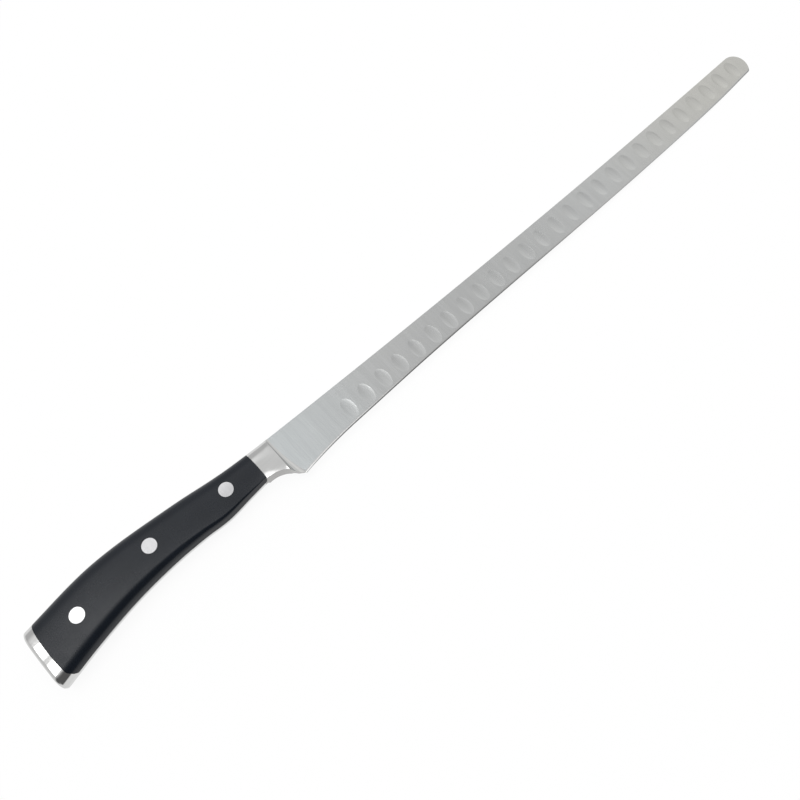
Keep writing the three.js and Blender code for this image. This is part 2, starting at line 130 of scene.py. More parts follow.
class HAMKNIFE_PG_blade(bpy.types.PropertyGroup):
    """Outline and section of the blade"""

    blade_length: distance("Blade length", "Plunge line to tip", 319.5)
    spine_at_plunge: distance(
        "Spine at plunge", "Spine above the scallop row, at the plunge line", 14.2,
    )
    spine_at_tip: distance("Spine at tip", "Spine above the scallop row, near the tip", 6.9)
    spine_run_out: distance("Spine run-out", "Where the falling spine runs level", 300)
    heel_overhang: distance("Heel overhang", "Heel point in front of the plunge line", 3.6)
    heel_drop: distance("Heel drop", "Heel point below the scallop row", 9.2)
    heel_sweep: distance("Heel sweep", "Length over which the edge sweeps up from the heel", 34)
    edge_after_sweep: distance("Edge after sweep", "Edge below the row, after the sweep", 6.95)
    edge_hollow: distance("Edge hollow", "Edge below the row, where the blade is narrowest", 6.6)
    edge_hollow_at: distance("Edge hollow place", "Narrowest place from the plunge line", 80)
    edge_belly: distance("Edge belly", "Edge below the row, where it is lowest", 8.55)
    edge_belly_from_tip: distance("Edge belly place", "Lowest place from the tip", 94)
    edge_rise: distance("Edge rise", "Edge below the row, where it rises to the tip", 7.95)
    edge_rise_from_tip: distance("Edge rise place", "Rising place from the tip", 30)
    edge_at_tip: distance("Edge at tip", "Edge below the row, at the tip's corner", 6.55)
    tip_radius: distance("Tip radius", "Round upper corner of the tip", 6.9)
    tip_slant: distance("Tip slant", "How far the end slants back", 1.1)
    tip_corner: distance("Tip corner", "Small lower corner of the tip", 2.4)
    spine_thickness: distance("Spine thickness", "Blade thickness along the spine", 2.1)
    edge_thickness: distance("Edge thickness", "Blade thickness above the bevel", 0.36)
    bevel_at_heel: distance("Bevel at heel", "Width of the sharpening bevel at the heel", 0.72)
    bevel_at_tip: distance("Bevel at tip", "Width of the sharpening bevel at the tip", 0.5)
    bevel_blend: distance(
        "Bevel blend", "How far the bevel's shoulder is rounded to each side", 0.4,
    )
    keen_thickness: distance("Keen edge", "Thickness left at the very edge", 0.06)
    spine_break: distance("Spine break", "Rounding of the spine's two long corners", 0.22)


class HAMKNIFE_PG_scallops(bpy.types.PropertyGroup):
    """Oval scallops ground into both sides of the blade"""

    pitch: distance("Pitch", "Distance from one scallop to the next", 10.5)
    start: distance("Start", "First scallop from the plunge line", 37)
    tip_margin: distance("Tip margin", "Blade left plain before the tip", 9)
    width: distance("Width", "Width of a scallop along the blade", 6)
    height: distance("Height", "Height of a scallop across the blade", 10.4)
    depth: distance("Depth", "Depth of a scallop", 0.22)


class HAMKNIFE_PG_bolster(bpy.types.PropertyGroup):
    """Bolster, plunge line and finger curve"""

    bolster_length: distance("Bolster length", "Scales to plunge line", 10.6)
    front_thickness: distance("Front thickness", "Bolster thickness at the plunge line", 9)
    front_break: distance("Front break", "Rounding of the bolster's front edge", 0.12)
    plunge_setback: distance(
        "Plunge setback", "Bolster's front behind the plunge line, at the spine", 0.5,
    )
    plunge_setback_at_heel: distance("Plunge setback at heel", "The same at the heel point", 1.1)
    plunge_fillet: distance(
        "Plunge fillet", "Hollow from the bolster's front down to the blade", 1.6,
    )
    plunge_fillet_at_heel: distance("Plunge fillet at heel", "The same at the heel point", 5.7)
    plunge_draft: distance("Plunge draft", "How far the bolster's front leans to the blade", 0.02)
    finger_radius: distance("Finger radius", "Radius of the finger curve", 12.3)
    finger_arc_at: distance("Finger arc start", "Where the finger curve leaves the belly", 9.6)
    finger_arc_setback: distance("Finger arc end", "Where the arc ends behind the plunge line", 0.9)
    heel_angle: angle("Heel angle", "Slope of the heel's straight back", 41.5)
    heel_shoulder: distance("Heel shoulder", "Where the heel's back begins", 0.9)


class HAMKNIFE_PG_grip(bpy.types.PropertyGroup):
    """Outline and section of the grip"""

    grip_length: distance("Grip length", "Butt to plunge line", 125)
    cap_length: distance("Cap length", "Steel butt cap behind the scales", 4.8)
    spine_at_butt: distance("Spine at butt", "Back of the grip at the butt", 19.1)
    spine_swell: distance("Spine swell", "Back of the grip where it is highest", 22.52)
    spine_swell_from_butt: distance("Spine swell place", "Highest place from the butt", 37)
    spine_mid: distance("Spine middle", "Back of the grip behind the front rivet", 19.35)
    spine_mid_at: distance("Spine middle place", "That place from the plunge line", 48)
    spine_neck: distance("Spine neck", "Back of the grip at its neck", 15.72)
    spine_neck_at: distance("Spine neck place", "Neck from the plunge line", 21.5)
    belly_at_butt: distance("Belly at butt", "Belly line at the butt", -9.95)
    belly_rear: distance("Belly rear", "Belly line where the butt's drop begins", -5.35)
    belly_rear_from_butt: distance("Belly rear place", "That place from the butt", 22.5)
    belly_flank: distance("Belly flank", "Belly line between that drop and the waist", -2.3)
    belly_flank_at: distance("Belly flank place", "That place from the plunge line", 82)
    belly_waist: distance("Belly waist", "Belly line where it is highest", -1.1)
    belly_waist_at: distance("Belly waist place", "That place from the plunge line", 61)
    belly_rise: distance("Belly rise", "Belly line between the waist and the knuckle", -1.45)
    belly_rise_at: distance("Belly rise place", "That place from the plunge line", 46)
    belly_knuckle: distance("Belly knuckle", "Belly line at the low knuckle in front", -2.4)
    belly_knuckle_at: distance("Belly knuckle place", "Knuckle from the plunge line", 34)
    belly_finger: distance("Belly finger", "Belly line behind the bolster", -1.4)
    belly_finger_at: distance("Belly finger place", "That place from the plunge line", 21.5)
    belly_front: distance("Belly front", "Belly line where the finger curve begins", -0.4)
    thickness_at_butt: distance("Thickness at butt", "Grip thickness at the butt", 12.2)
    thickness_at_swell: distance("Thickness at swell", "Grip thickness where it is highest", 13.2)
    thickness_at_front: distance("Thickness at front", "Grip thickness at the bolster", 9.5)
    side_tilt: angle(
        "Side tilt", "Tilt that the crowned sides reach next to their long corners", 4.5,
    )
    side_tilt_at_bolster: angle(
        "Side tilt at bolster", "The same above the belly, at the bolster's rear", 11.5,
    )
    side_tilt_at_plunge: angle(
        "Side tilt at plunge", "The same above the belly, at the plunge line", 7.5,
    )
    side_tilt_fade: distance(
        "Side tilt fade", "Length over which the tilt settles behind the bolster", 20,
    )
    spine_round: distance("Spine rounding", "Depth of the back's long corners", 4.2)
    spine_round_at_plunge: distance("Spine rounding at plunge", "The same at the plunge line", 3.2)
    spine_stretch: bpy.props.FloatProperty(
        name="Spine stretch", default=1.7,
        description="How far the back's corners are drawn out down the sides",
    )
    belly_round_at_butt: distance(
        "Belly rounding at butt", "Rounding of the belly's long corners", 6,
    )
    belly_round_mid: distance("Belly rounding middle", "The same in the middle of the grip", 4.8)
    belly_round_mid_at: distance(
        "Belly rounding middle place", "That place from the plunge line", 70,
    )
    belly_round_front: distance("Belly rounding front", "The same at the front of the scales", 1.4)
    belly_round_front_at: distance(
        "Belly rounding front place", "That place from the plunge line", 25,
    )
    belly_round_at_bolster: distance("Belly rounding at bolster", "The same at the bolster", 0.2)
    underside_lean: angle("Underside lean", "Lean of the underside in to the tang", 18)
    underside_lean_fade: distance("Underside lean fade", "Length over which the lean begins", 1)
    butt_round: distance("Butt rounding", "Rounding of the butt's rim", 1.7)
    tang_thickness: distance("Tang thickness", "Steel tang between the scales", 2.4)
    scale_front_bow: distance("Scale front bow", "Bow of the scales' front ends", 0.15)
    scale_rear_bow: distance("Scale rear bow", "Bow of the scales' rear ends", 0.5)
    corner_front_spine: distance("Front spine corner", "Scale corner at front and back", 1.2)
    corner_front_belly: distance("Front belly corner", "Scale corner at front and belly", 1.2)
    front_sweep: distance("Front sweep", "How far that corner is drawn out along the belly", 4)
    corner_rear_spine: distance("Rear spine corner", "Scale corner at butt and back", 2.2)
    corner_rear_belly: distance("Rear belly corner", "Scale corner at butt and belly", 3.2)
    seat_gap: distance("Seat gap", "Clearance between scales, rivets and steel", 0.1)


class HAMKNIFE_PG_rivets(bpy.types.PropertyGroup):
    """Three rivets, each a pin pressed into a sleeve"""

    head: distance("Head", "Diameter of the flush heads", 6.6)
    head_depth: distance("Head depth", "Depth of the heads in the scales", 2.4)
    sleeve_outer: distance("Sleeve", "Outer diameter of the sleeve", 4.6)
    sleeve_bore: distance("Bore", "Inner diameter of the sleeve", 3.2)
    front_margin: distance("Front margin", "Front rivet from the bolster", 16.2)
    rear_margin: distance("Rear margin", "Rear rivet from the butt cap", 17)
    lift_front: distance("Front lift", "Front rivet above the grip's middle line", 0.6)
    lift_middle: distance("Middle lift", "Middle rivet above the grip's middle line", 0.95)
    lift_rear: distance("Rear lift", "Rear rivet above the grip's middle line", 0.75)
    end_gap: distance("End gap", "Room at the end of the pin", 0.5)


class HAMKNIFE_PG_finish(bpy.types.PropertyGroup):
    """Colours and roughness of the knife's finishes"""

    blade_steel: colour("Blade steel", "Satin ground blade", (0.572, 0.579, 0.576))
    # Painted reflection: the blade is lighter and cooler at its heel
    cool_steel: colour("Cool blade steel", "Tone of the blade at its heel", (0.597, 0.624, 0.631))
    polished_steel: colour("Polished steel", "Bolster, tang and butt cap", (0.62, 0.62, 0.615))
    # The finger curve's satin grind is real, but its dark tone is painted shade for the shadowed
    # floor it mirrors
    curve_steel: colour(
        "Curve steel", "Satin ground finger curve under the bolster", (0.33, 0.326, 0.318),
    )
    rivet_steel: colour("Rivet steel", "Rivet heads", (0.66, 0.66, 0.67))
    resin: colour("Scale resin", "Near-black scales", (0.0045, 0.007, 0.0115))
    # Painted reflection: the blade is warmer towards its tip
    warm_steel: colour(
        "Warm blade steel", "Tone that the blade takes on towards its tip", (0.602, 0.598, 0.57),
    )
    blade_roughness: share("Blade roughness", "Roughness of the ground blade", 0.22)
    edge_roughness: share("Edge roughness", "Roughness of the honed bevel", 0.1)
    polish_roughness: share("Polish roughness", "Roughness of bolster and cap", 0.075)
    rivet_roughness: share("Rivet roughness", "Roughness of the rivet heads", 0.2)
    resin_roughness: share("Resin roughness", "Roughness of the scales", 0.25)


class HAMKNIFE_PG_studio(bpy.types.PropertyGroup):
    """Floor, light and camera"""

    floor: colour("Floor", "Pale studio floor", (0.93, 0.93, 0.93))
    key: bpy.props.FloatProperty(
        name="Key softbox", description="Light of each softbox panel over the grip",
        default=1.4, unit="POWER",
    )
    fill: bpy.props.FloatProperty(
        name="Ceiling fill", description="Wide light from above", default=17, unit="POWER",
    )
    ceiling: share("Ceiling", "Brightness of the bright ceiling", 0.85)
    dark_side: share("Dark side", "Brightness of the studio behind the camera", 0.13)
    back_wall: share("Back wall", "Brightness added low behind the camera", 0.5)
    slot: bpy.props.FloatProperty(
        name="Slot", description="Brightness of the narrow slot in the ceiling", default=1.5, min=0,
    )
    rim: share("Rim strip", "Brightness added past the far side of the grip", 0.32)
    ridge: bpy.props.FloatProperty(
        name="Ridge strip", description="Brightness added for the grip's long ridge",
        default=2.0, min=0,
    )
    lens: bpy.props.FloatProperty(
        name="Lens", description="Focal length of the camera", default=36, unit="CAMERA",
    )


def mix(start, end, part):
    return start + (end - start) * part


def clamp(value):
    return max(0.0, min(1.0, value))


def ease(value):
    part = clamp(value)
    return part * part * (3 - 2 * part)


def steps(start, end, count):
    """Evenly spaced values from one end to the other."""
    return [start + (end - start) * i / count for i in range(count + 1)]


def curve_between(start, control, end, count):
    """Points of a curve from one place to another, bent towards a third."""
    return [
        tuple(
            (1 - t) ** 2 * a + 2 * t * (1 - t) * b + t * t * c
            for a, b, c in zip(start, control, end)
        )
        for t in steps(0, 1, count)
    ]


def line_through(points):
    """A smooth line through a few points, in order of X, level beyond them."""
    places = [x for x, _ in points]
    heights = [y for _, y in points]
    last = len(points) - 1

    def line(x):
        if x <= places[0]:
            return heights[0]
        if x >= places[last]:
            return heights[last]
        after = bisect.bisect_right(places, x)
        before = after - 1
        start, end = places[before], places[after]
        ahead = after + 1 if after < last else before
        behind = before - 1 if before > 0 else after
        half = (end - start) / 2
        lean_in = half / (start - places[behind])
        lean_out = half / (places[ahead] - end)
        p = (x - start) / (end - start)
        return (
            heights[behind] * (-lean_in * p**3 + 2 * lean_in * p**2 - lean_in * p)
            + heights[before]
            * ((1 + lean_in) * p**3 - (1.5 + 2 * lean_in) * p**2 + (lean_in - 0.5) * p + 1)
            + heights[after] * (-(1 + lean_out) * p**3 + (1.5 + lean_out) * p**2 + 0.5 * p)
            + heights[ahead] * (lean_out * p**3 - lean_out * p**2)
        )

    return line


class KnifeLines:
    """The knife's lines and sections in its own frame."""

    corner_steps = 14
    side_steps = 12
    proud_slope = 0.3
    mount_place = (0.018, 0.003)

    def __init__(self, scene):
        self.blade = scene.hamknife_blade
        self.scallops = scene.hamknife_scallops
        self.bolster = scene.hamknife_bolster
        self.grip = scene.hamknife_grip
        self.rivets = scene.hamknife_rivets
        blade, grip, bolster = self.blade, self.grip, self.bolster
        self.edge_end = blade.blade_length - blade.tip_slant - blade.tip_corner
        height = blade.spine_at_plunge + blade.edge_belly
        self.taper = (blade.spine_thickness - blade.edge_thickness) / 2 / height
        self.edge_curve = line_through([
            (blade.heel_overhang + blade.heel_sweep, -blade.edge_after_sweep),
            (blade.edge_hollow_at, -blade.edge_hollow),
            (blade.blade_length - blade.edge_belly_from_tip, -blade.edge_belly),
            (blade.blade_length - blade.edge_rise_from_tip, -blade.edge_rise),
            (self.edge_end, -blade.edge_at_tip),
        ])
        self.grip_spine = line_through([
            (-grip.grip_length, grip.spine_at_butt),
            (grip.spine_swell_from_butt - grip.grip_length, grip.spine_swell),
            (-grip.spine_mid_at, grip.spine_mid),
            (-grip.spine_neck_at, grip.spine_neck),
            (0, blade.spine_at_plunge),
            (bolster.bolster_length, self.blade_spine(bolster.bolster_length)),
        ])
        self.grip_belly = line_through([
            (-grip.grip_length, grip.belly_at_butt),
            (grip.belly_rear_from_butt - grip.grip_length, grip.belly_rear),
            (-grip.belly_flank_at, grip.belly_flank),
            (-grip.belly_waist_at, grip.belly_waist),
            (-grip.belly_rise_at, grip.belly_rise),
            (-grip.belly_knuckle_at, grip.belly_knuckle),
            (-grip.belly_finger_at, grip.belly_finger),
            (-bolster.finger_arc_at, grip.belly_front),
        ])
        self.grip_half = line_through([
            (-grip.grip_length, grip.thickness_at_butt / 2),
            (grip.spine_swell_from_butt - grip.grip_length, grip.thickness_at_swell / 2),
            (-bolster.bolster_length, grip.thickness_at_front / 2),
        ])
        self.belly_corner = line_through([
            (-grip.grip_length, grip.belly_round_at_butt),
            (-grip.belly_round_mid_at, grip.belly_round_mid),
            (-grip.belly_round_front_at, grip.belly_round_front),
            (-bolster.bolster_length, grip.belly_round_at_bolster),
        ])

    def blade_spine(self, x):
        blade = self.blade
        fall = max(0, 1 - x / blade.spine_run_out) ** 2
        return blade.spine_at_tip + (blade.spine_at_plunge - blade.spine_at_tip) * fall

    def blade_edge(self, x):
        blade = self.blade
        sweep = max(0, 1 - (x - blade.heel_overhang) / blade.heel_sweep) ** 2
        return self.edge_curve(x) - (blade.heel_drop - blade.edge_after_sweep) * sweep

    def blade_half(self, y):
        """Half the blade's thickness: its sides are two flat planes."""
        return self.blade.edge_thickness / 2 + self.taper * (y + self.blade.edge_belly)

    def bevel_width(self, x):
        """Width of the sharpening bevel, wider at the heel than at the tip."""
        along = (x - self.blade.heel_overhang) / (self.edge_end - self.blade.heel_overhang)
        return mix(self.blade.bevel_at_heel, self.blade.bevel_at_tip, clamp(along))

    def finger_arc(self, x):
        radius = self.bolster.finger_radius
        along = max(0, x + self.bolster.finger_arc_at)
        return self.grip.belly_front - radius + math.sqrt(radius**2 - along**2)

    def heel_line(self, x):
        behind = self.blade.heel_overhang - x
        return -self.blade.heel_drop + behind * math.tan(self.bolster.heel_angle)

    def finger_curve(self, x):
        """From the belly in an arc, a short step across the plunge line, then the heel's back."""
        bolster = self.bolster
        setback, shoulder = bolster.finger_arc_setback, bolster.heel_shoulder
        if x < -setback:
            return self.finger_arc(x)
        if x > shoulder:
            return self.heel_line(x)
        part = (x + setback) / (shoulder + setback)
        return mix(self.finger_arc(-setback), self.heel_line(shoulder), part)

    def forged_belly(self, x):
        """Below the finger curve the forging is left proud, for the finger cut to trim."""
        past = x + self.bolster.finger_arc_at
        return self.grip_belly(x) if past < 0 else self.finger_curve(x) - past * self.proud_slope

    def bolster_share(self, x):
        """0 from the plunge line on, 1 at the scales and behind."""
        return clamp(-x / self.bolster.bolster_length)

    def forged_half(self, x):
        part = self.bolster_share(x)
        if part >= 1:
            return self.grip_half(x)
        return mix(self.bolster.front_thickness, self.grip.thickness_at_front, part) / 2

    def spine_corner(self, x):
        return mix(self.grip.spine_round_at_plunge, self.grip.spine_round, self.bolster_share(x))

    def behind_bolster(self, x, length):
        """How far a change that starts at the bolster's rear has come, a given length behind it."""
        return ease((-x - self.bolster.bolster_length) / length)

    def belly_tilt(self, x):
        """Tilt of the side where the belly corner begins."""
        grip = self.grip
        on_bolster = mix(grip.side_tilt_at_plunge, grip.side_tilt_at_bolster, self.bolster_share(x))
        return mix(on_bolster, grip.side_tilt, self.behind_bolster(x, grip.side_tilt_fade))

    def grip_ring(self, x, inset=0.0):
        """One section of the grip: back, spine corner, crowned side, belly corner and underside.

        The spine corner is part of an ellipse and the belly corner an arc. Both leave the side with
        its own tilt, and the arc ends with the lean of the underside."""
        grip = self.grip
        half = self.forged_half(x) - inset
        top = self.grip_spine(x) - inset
        bottom = self.forged_belly(x) + inset
        tang = grip.tang_thickness / 2
        lean = grip.underside_lean * self.behind_bolster(x, grip.underside_lean_fade)
        tilt = self.belly_tilt(x)
        spine_slope, belly_slope = math.tan(grip.side_tilt), math.tan(tilt)
        bend = 2 * (spine_slope + belly_slope)

        depth = min(self.spine_corner(x), half - self.blade_half(top))
        drop = depth * grip.spine_stretch
        turn = math.atan2(depth, drop * spine_slope)
        spine_end = top - drop * (1 - math.cos(turn))

        sag = belly_slope**2 / bend
        room = half - sag * (top - bottom) - tang
        radius = min(self.belly_corner(x), room / (math.cos(tilt) - math.sin(lean)))
        swing = radius / math.cos(lean) - radius * math.sin(tilt)
        foot = bottom + swing - (radius * math.cos(tilt) + tang) * math.tan(lean)
        belly_side = (half - sag * (spine_end - foot)) / (1 - sag * math.tan(lean))
        belly_start = foot + belly_side * math.tan(lean)
        length = spine_end - belly_start
        spine_side = half - length * spine_slope**2 / bend

        outer = [
            (top - drop * (1 - math.cos(a)), spine_side - depth * (math.sin(turn) - math.sin(a)))
            for a in steps(0, turn, self.corner_steps)
        ]
        for u in steps(0, 1, self.side_steps)[1:-1]:
            crown = length * (spine_slope * u - bend * u * u / 4)
            outer.append((spine_end - length * u, spine_side + crown))
        for a in steps(tilt, math.pi / 2 - lean, self.corner_steps):
            y = belly_start - radius * (math.sin(a) - math.sin(tilt))
            outer.append((y, belly_side - radius * (math.cos(tilt) - math.cos(a))))
        outer.append((bottom, tang))
        upper = [Vector((x, y, z)) for y, z in outer]
        lower = [Vector((x, y, -z)) for y, z in reversed(outer)]
        return upper + lower

    def heel_share(self, y):
        """0 at the spine, 1 at the heel point."""
        blade = self.blade
        return (blade.spine_at_plunge - y) / (blade.spine_at_plunge + blade.heel_drop)

    def bolster_front(self, y):
        """Front edge of the bolster, a little behind the plunge line and slanted to the heel."""
        bolster = self.bolster
        return -mix(bolster.plunge_setback, bolster.plunge_setback_at_heel, self.heel_share(y))

    def fillet_radius(self, y):
        part = clamp(self.heel_share(y)) ** 2
        return mix(self.bolster.plunge_fillet, self.bolster.plunge_fillet_at_heel, part)

    def bolster_ring(self, x):
        """Sections of the bolster lean more and more, until the last lies along the front edge."""
        part = 1 + x / self.bolster.finger_arc_at
        ring = self.grip_ring(x)
        for point in ring:
            point.x += part * self.bolster_front(point.y)
        return ring

    def front_ring(self, turn):
        """The bolster's front edge is broken by a fine rounding."""
        edge = self.bolster.front_break
        ring = self.grip_ring(0)
        for point in ring:
            point.x = self.bolster_front(point.y) - edge * (1 - math.sin(turn))
            above = max(0, abs(point.z) - self.blade_half(point.y))
            point.z -= math.copysign(min(above, edge * (1 - math.cos(turn))), point.z)
        return ring

    def fillet_ring(self, turn):
        """The bolster's front drops to the blade in a hollow, wider towards the heel."""
        part = 1 - math.cos(turn)
        ring = self.front_ring(math.pi / 2)
        for point in ring:
            radius = self.fillet_radius(point.y)
            point.x = self.bolster_front(point.y) + mix(self.bolster.plunge_draft, radius, part)
            point.y = min(point.y, self.blade_spine(point.x) - OVERLAP * part)
            floor = self.blade_half(point.y) - OVERLAP
            height = min(abs(point.z), floor + radius * (1 - math.sin(turn)))
            point.z = math.copysign(height, point.z)
        return ring

    def scale_zone(self, clearance):
        """Plan outline of the scales, open towards the spine and the belly."""
        grip, bolster = self.grip, self.bolster
        front = -bolster.bolster_length - grip.scale_front_bow
        rear = grip.cap_length - grip.grip_length + grip.scale_rear_bow

        def corner(end, inward, line, side, quarters, across, along=None):
            along = along or across
            x = end + inward * along
            y = line(x) - side * across
            first = quarters * math.pi / 2
            return [
                (x + (along + clearance) * math.cos(a), y + (across + clearance) * math.sin(a))
                for a in steps(first, first + math.pi / 2, self.corner_steps)
            ]

        def bow(start, end, depth):
            control = (end[0] + 2 * depth, (start[1] + end[1]) / 2)
            return curve_between(start, control, end, OUTLINE_STEPS["bow"])[1:-1]

        spine, belly = self.grip_spine, self.grip_belly
        front_spine = corner(front, -1, spine, 1, 0, grip.corner_front_spine)
        rear_spine = corner(rear, 1, spine, 1, 1, grip.corner_rear_spine)
        rear_belly = corner(rear, 1, belly, -1, 2, grip.corner_rear_belly)
        front_belly = corner(front, -1, belly, -1, 3, grip.corner_front_belly, grip.front_sweep)
        return (
            front_belly
            + bow(front_belly[-1], front_spine[0], grip.scale_front_bow)
            + front_spine
            + [(front_spine[-1][0], ROOM), (rear_spine[0][0], ROOM)]
            + rear_spine
            + bow(rear_spine[-1], rear_belly[0], -grip.scale_rear_bow)
            + rear_belly
            + [(rear_belly[-1][0], -ROOM), (front_belly[0][0], -ROOM)]
        )

    def blade_outline(self):
        """Plan outline of the blade as (x, y, share of cutting edge), clockwise from its root."""
        blade, count = self.blade, OUTLINE_STEPS
        length = blade.blade_length
        root = -self.bolster.bolster_length / 2
        rise = self.bolster.plunge_fillet / 8
        centre = length - blade.tip_radius
        slant_end = blade.tip_corner - blade.edge_at_tip
        sweep_end = blade.heel_overhang + blade.heel_sweep

        outline = [(root, blade.spine_at_plunge - self.bolster.front_thickness / 2, 0)]
        outline += [(x, self.blade_spine(x), 0) for x in steps(rise, centre, count["spine"])]
        for turn in steps(math.pi / 2, 0, count["tip"])[1:]:
            x = centre + blade.tip_radius * math.cos(turn)
            outline.append((x, blade.spine_at_tip - blade.tip_radius * (1 - math.sin(turn)), 0))
        slant = curve_between(
            (length, blade.spine_at_tip - blade.tip_radius),
            (length, slant_end / 2),
            (length - blade.tip_slant, slant_end), count["slant"],
        )
        outline += [(x, y, 0) for x, y in slant[1:]]
        lead = blade.tip_slant * (1 - 2 * blade.tip_corner / slant_end)
        corner = curve_between(
            (length - blade.tip_slant, slant_end),
            (length - lead, -blade.edge_at_tip),
            (self.edge_end, self.blade_edge(self.edge_end)), count["corner"],
        )
        turned = count["corner"] - 1
        outline += [(x, y, ease(i / turned)) for i, (x, y) in enumerate(corner[1:])]
        for start, end, part in ((self.edge_end, sweep_end, "edge"),
                                 (sweep_end, blade.heel_overhang, "sweep")):
            outline += [(x, self.blade_edge(x), 1) for x in steps(start, end, count[part])[1:]]
        outline.append((root, -blade.heel_drop - blade.bevel_at_heel, 1))
        return outline

    def rivet_places(self):
        """Where the rivets stand, above the grip's middle line: (x, y, seat of the head)."""
        grip, rivets = self.grip, self.rivets
        front = -self.bolster.bolster_length - rivets.front_margin
        rear = grip.cap_length + rivets.rear_margin - grip.grip_length
        stands = (
            (front, rivets.lift_front),
            ((front + rear) / 2, rivets.lift_middle),
            (rear, rivets.lift_rear),
        )
        places = []
        for x, lift in stands:
            middle = (self.grip_spine(x) + self.grip_belly(x)) / 2
            places.append((x, middle + lift, self.grip_half(x) - rivets.head_depth))
        return places

    def lay_down(self):
        """From the knife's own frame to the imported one, by the mount on the blade's upper side."""
        mount = next(m for m in frame["record"]["mounts"] if m["name"] == "blade_flat_upper")
        turn = Matrix.Rotation(math.atan2(mount["axis"][0], mount["axis"][2]), 4, "Y")
        x, y = self.mount_place
        on_blade = Vector((x, y, self.blade_half(y)))
        return Matrix.Translation(Vector(mount["pos_m"]) - turn @ on_blade) @ turn


def add_object(name, data):
    """A new object in the scene."""
    made = bpy.data.objects.new(name, data)
    bpy.context.scene.collection.objects.link(made)
    return made


def body_from(name, points, faces):
    """A working object from plain mesh data, its faces turned outwards."""
    mesh = bpy.data.meshes.new(name)
    mesh.from_pydata(points, [], faces)
    shaped = bmesh.new()
    shaped.from_mesh(mesh)
    bmesh.ops.recalc_face_normals(shaped, faces=shaped.faces)
    shaped.to_mesh(mesh)
    shaped.free()
    return add_object(name, mesh)


def loft(name, rings):
    """A closed skin over rings of equally many points, with flat ends."""
    size = len(rings[0])
    faces = [tuple(range(size)), tuple(range((len(rings) - 1) * size, len(rings) * size))]
    for ring in range(len(rings) - 1):
        for i in range(size):
            a, b = ring * size + i, ring * size + (i + 1) % size
            faces.append((a, b, b + size, a + size))
    return body_from(name, [point for ring in rings for point in ring], faces)


def plate(name, outline, bottom, top):
    """A plan outline raised from one height to another."""
    count = len(outline)
    points = [(x, y, bottom) for x, y in outline] + [(x, y, top) for x, y in outline]
    faces = [tuple(range(count)), tuple(range(count, 2 * count))]
    faces += [(i, (i + 1) % count, (i + 1) % count + count, i + count) for i in range(count)]
    return body_from(name, points, faces)


def bar(name, place, diameter, bottom, top):
    """An upright round bar between two heights."""
    x, y, radius = place[0], place[1], diameter / 2
    turns = [2 * math.pi * i / ROUND_SIDES for i in range(ROUND_SIDES)]
    ring = [(x + radius * math.cos(a), y + radius * math.sin(a)) for a in turns]
    return plate(name, ring, bottom, top)


def settle(body):
    """Turns what the modifiers make into the body's plain mesh."""
    graph = bpy.context.evaluated_depsgraph_get()
    made = bpy.data.meshes.new_from_object(
        body.evaluated_get(graph), preserve_all_data_layers=True, depsgraph=graph
    )
    old = body.data
    body.modifiers.clear()
    body.data = made
    made.name = body.name
    bpy.data.meshes.remove(old)
    if not made.polygons:
        raise RuntimeError(f"{body.name} came out empty")
    return body


def carve(body, tool, operation="DIFFERENCE"):
    """Cuts one body with another, joins them or keeps what they share; the tool is used up."""
    work = body.modifiers.new("carve", "BOOLEAN")
    work.operation = operation
    work.object = tool
    work.solver = "EXACT"
    settle(body)
    bpy.data.objects.remove(tool, do_unlink=True)
    return body


def feed(tree, node, inputs):
    """Sets a node's inputs, each to a plain value, a socket to link, or a list of sockets."""
    for key, value in inputs.items():
        sources = value if isinstance(value, list) else [value]
        if isinstance(sources[0], bpy.types.NodeSocket):
            for source in sources:
                tree.links.new(source, node.inputs[key])
        else:
            node.inputs[key].default_value = value


def put(tree, kind, inputs=None, **settings):
    """Adds a node, and makes its settings before its inputs."""
    node = tree.nodes.new(kind)
    for key, value in settings.items():
        setattr(node, key, value)
    feed(tree, node, inputs or {})
    return node


def maths(tree, operation, a, b=0.0, c=0.0):
    return put(tree, "ShaderNodeMath", {0: a, 1: b, 2: c}, operation=operation).outputs[0]


def combine(tree, x, y, z):
    return put(tree, "ShaderNodeCombineXYZ", {0: x, 1: y, 2: z}).outputs[0]


def rescale(tree, value, low, high, to_low, to_high):
    """Maps one range to another, smoothly and within its ends."""
    return put(tree, "ShaderNodeMapRange", {
        "Value": value, "From Min": low, "From Max": high, "To Min": to_low, "To Max": to_high,
    }, interpolation_type="SMOOTHSTEP").outputs["Result"]


def new_group(name, kind, inputs, outputs):
    """A node tree with named sockets, and the nodes for its inputs and outputs."""
    tree = bpy.data.node_groups.new(name, kind)
    for label, holds, value in inputs:
        socket = tree.interface.new_socket(
            name=label, in_out="INPUT", socket_type=f"NodeSocket{holds}",
        )
        if value is not None:
            socket.default_value = value
    for label, holds in outputs:
        tree.interface.new_socket(name=label, in_out="OUTPUT", socket_type=f"NodeSocket{holds}")
    return tree, tree.nodes.new("NodeGroupInput"), tree.nodes.new("NodeGroupOutput")


def realized(tree, geometry):
    """Turns instances into plain geometry."""
    return put(tree, "GeometryNodeRealizeInstances", {0: geometry}).outputs[0]


def end_tree(tree, geometry, finish, result):
    """Ends a geometry tree: nothing left as an instance, and all in one finish."""
    finished = put(tree, "GeometryNodeSetMaterial", {
        "Geometry": realized(tree, geometry), "Material": finish,
    })
    feed(tree, result, {0: finished.outputs[0]})
    return tree


def run_tree(body, tree, values):
    """Runs a geometry tree on a body, with its inputs set by name, and keeps the plain mesh."""
    work = body.modifiers.new(tree.name, "NODES")
    work.node_group = tree
    for socket in tree.interface.items_tree:
        if socket.in_out == "INPUT" and socket.name in values:
            work[socket.identifier] = values[socket.name]
    return settle(body)


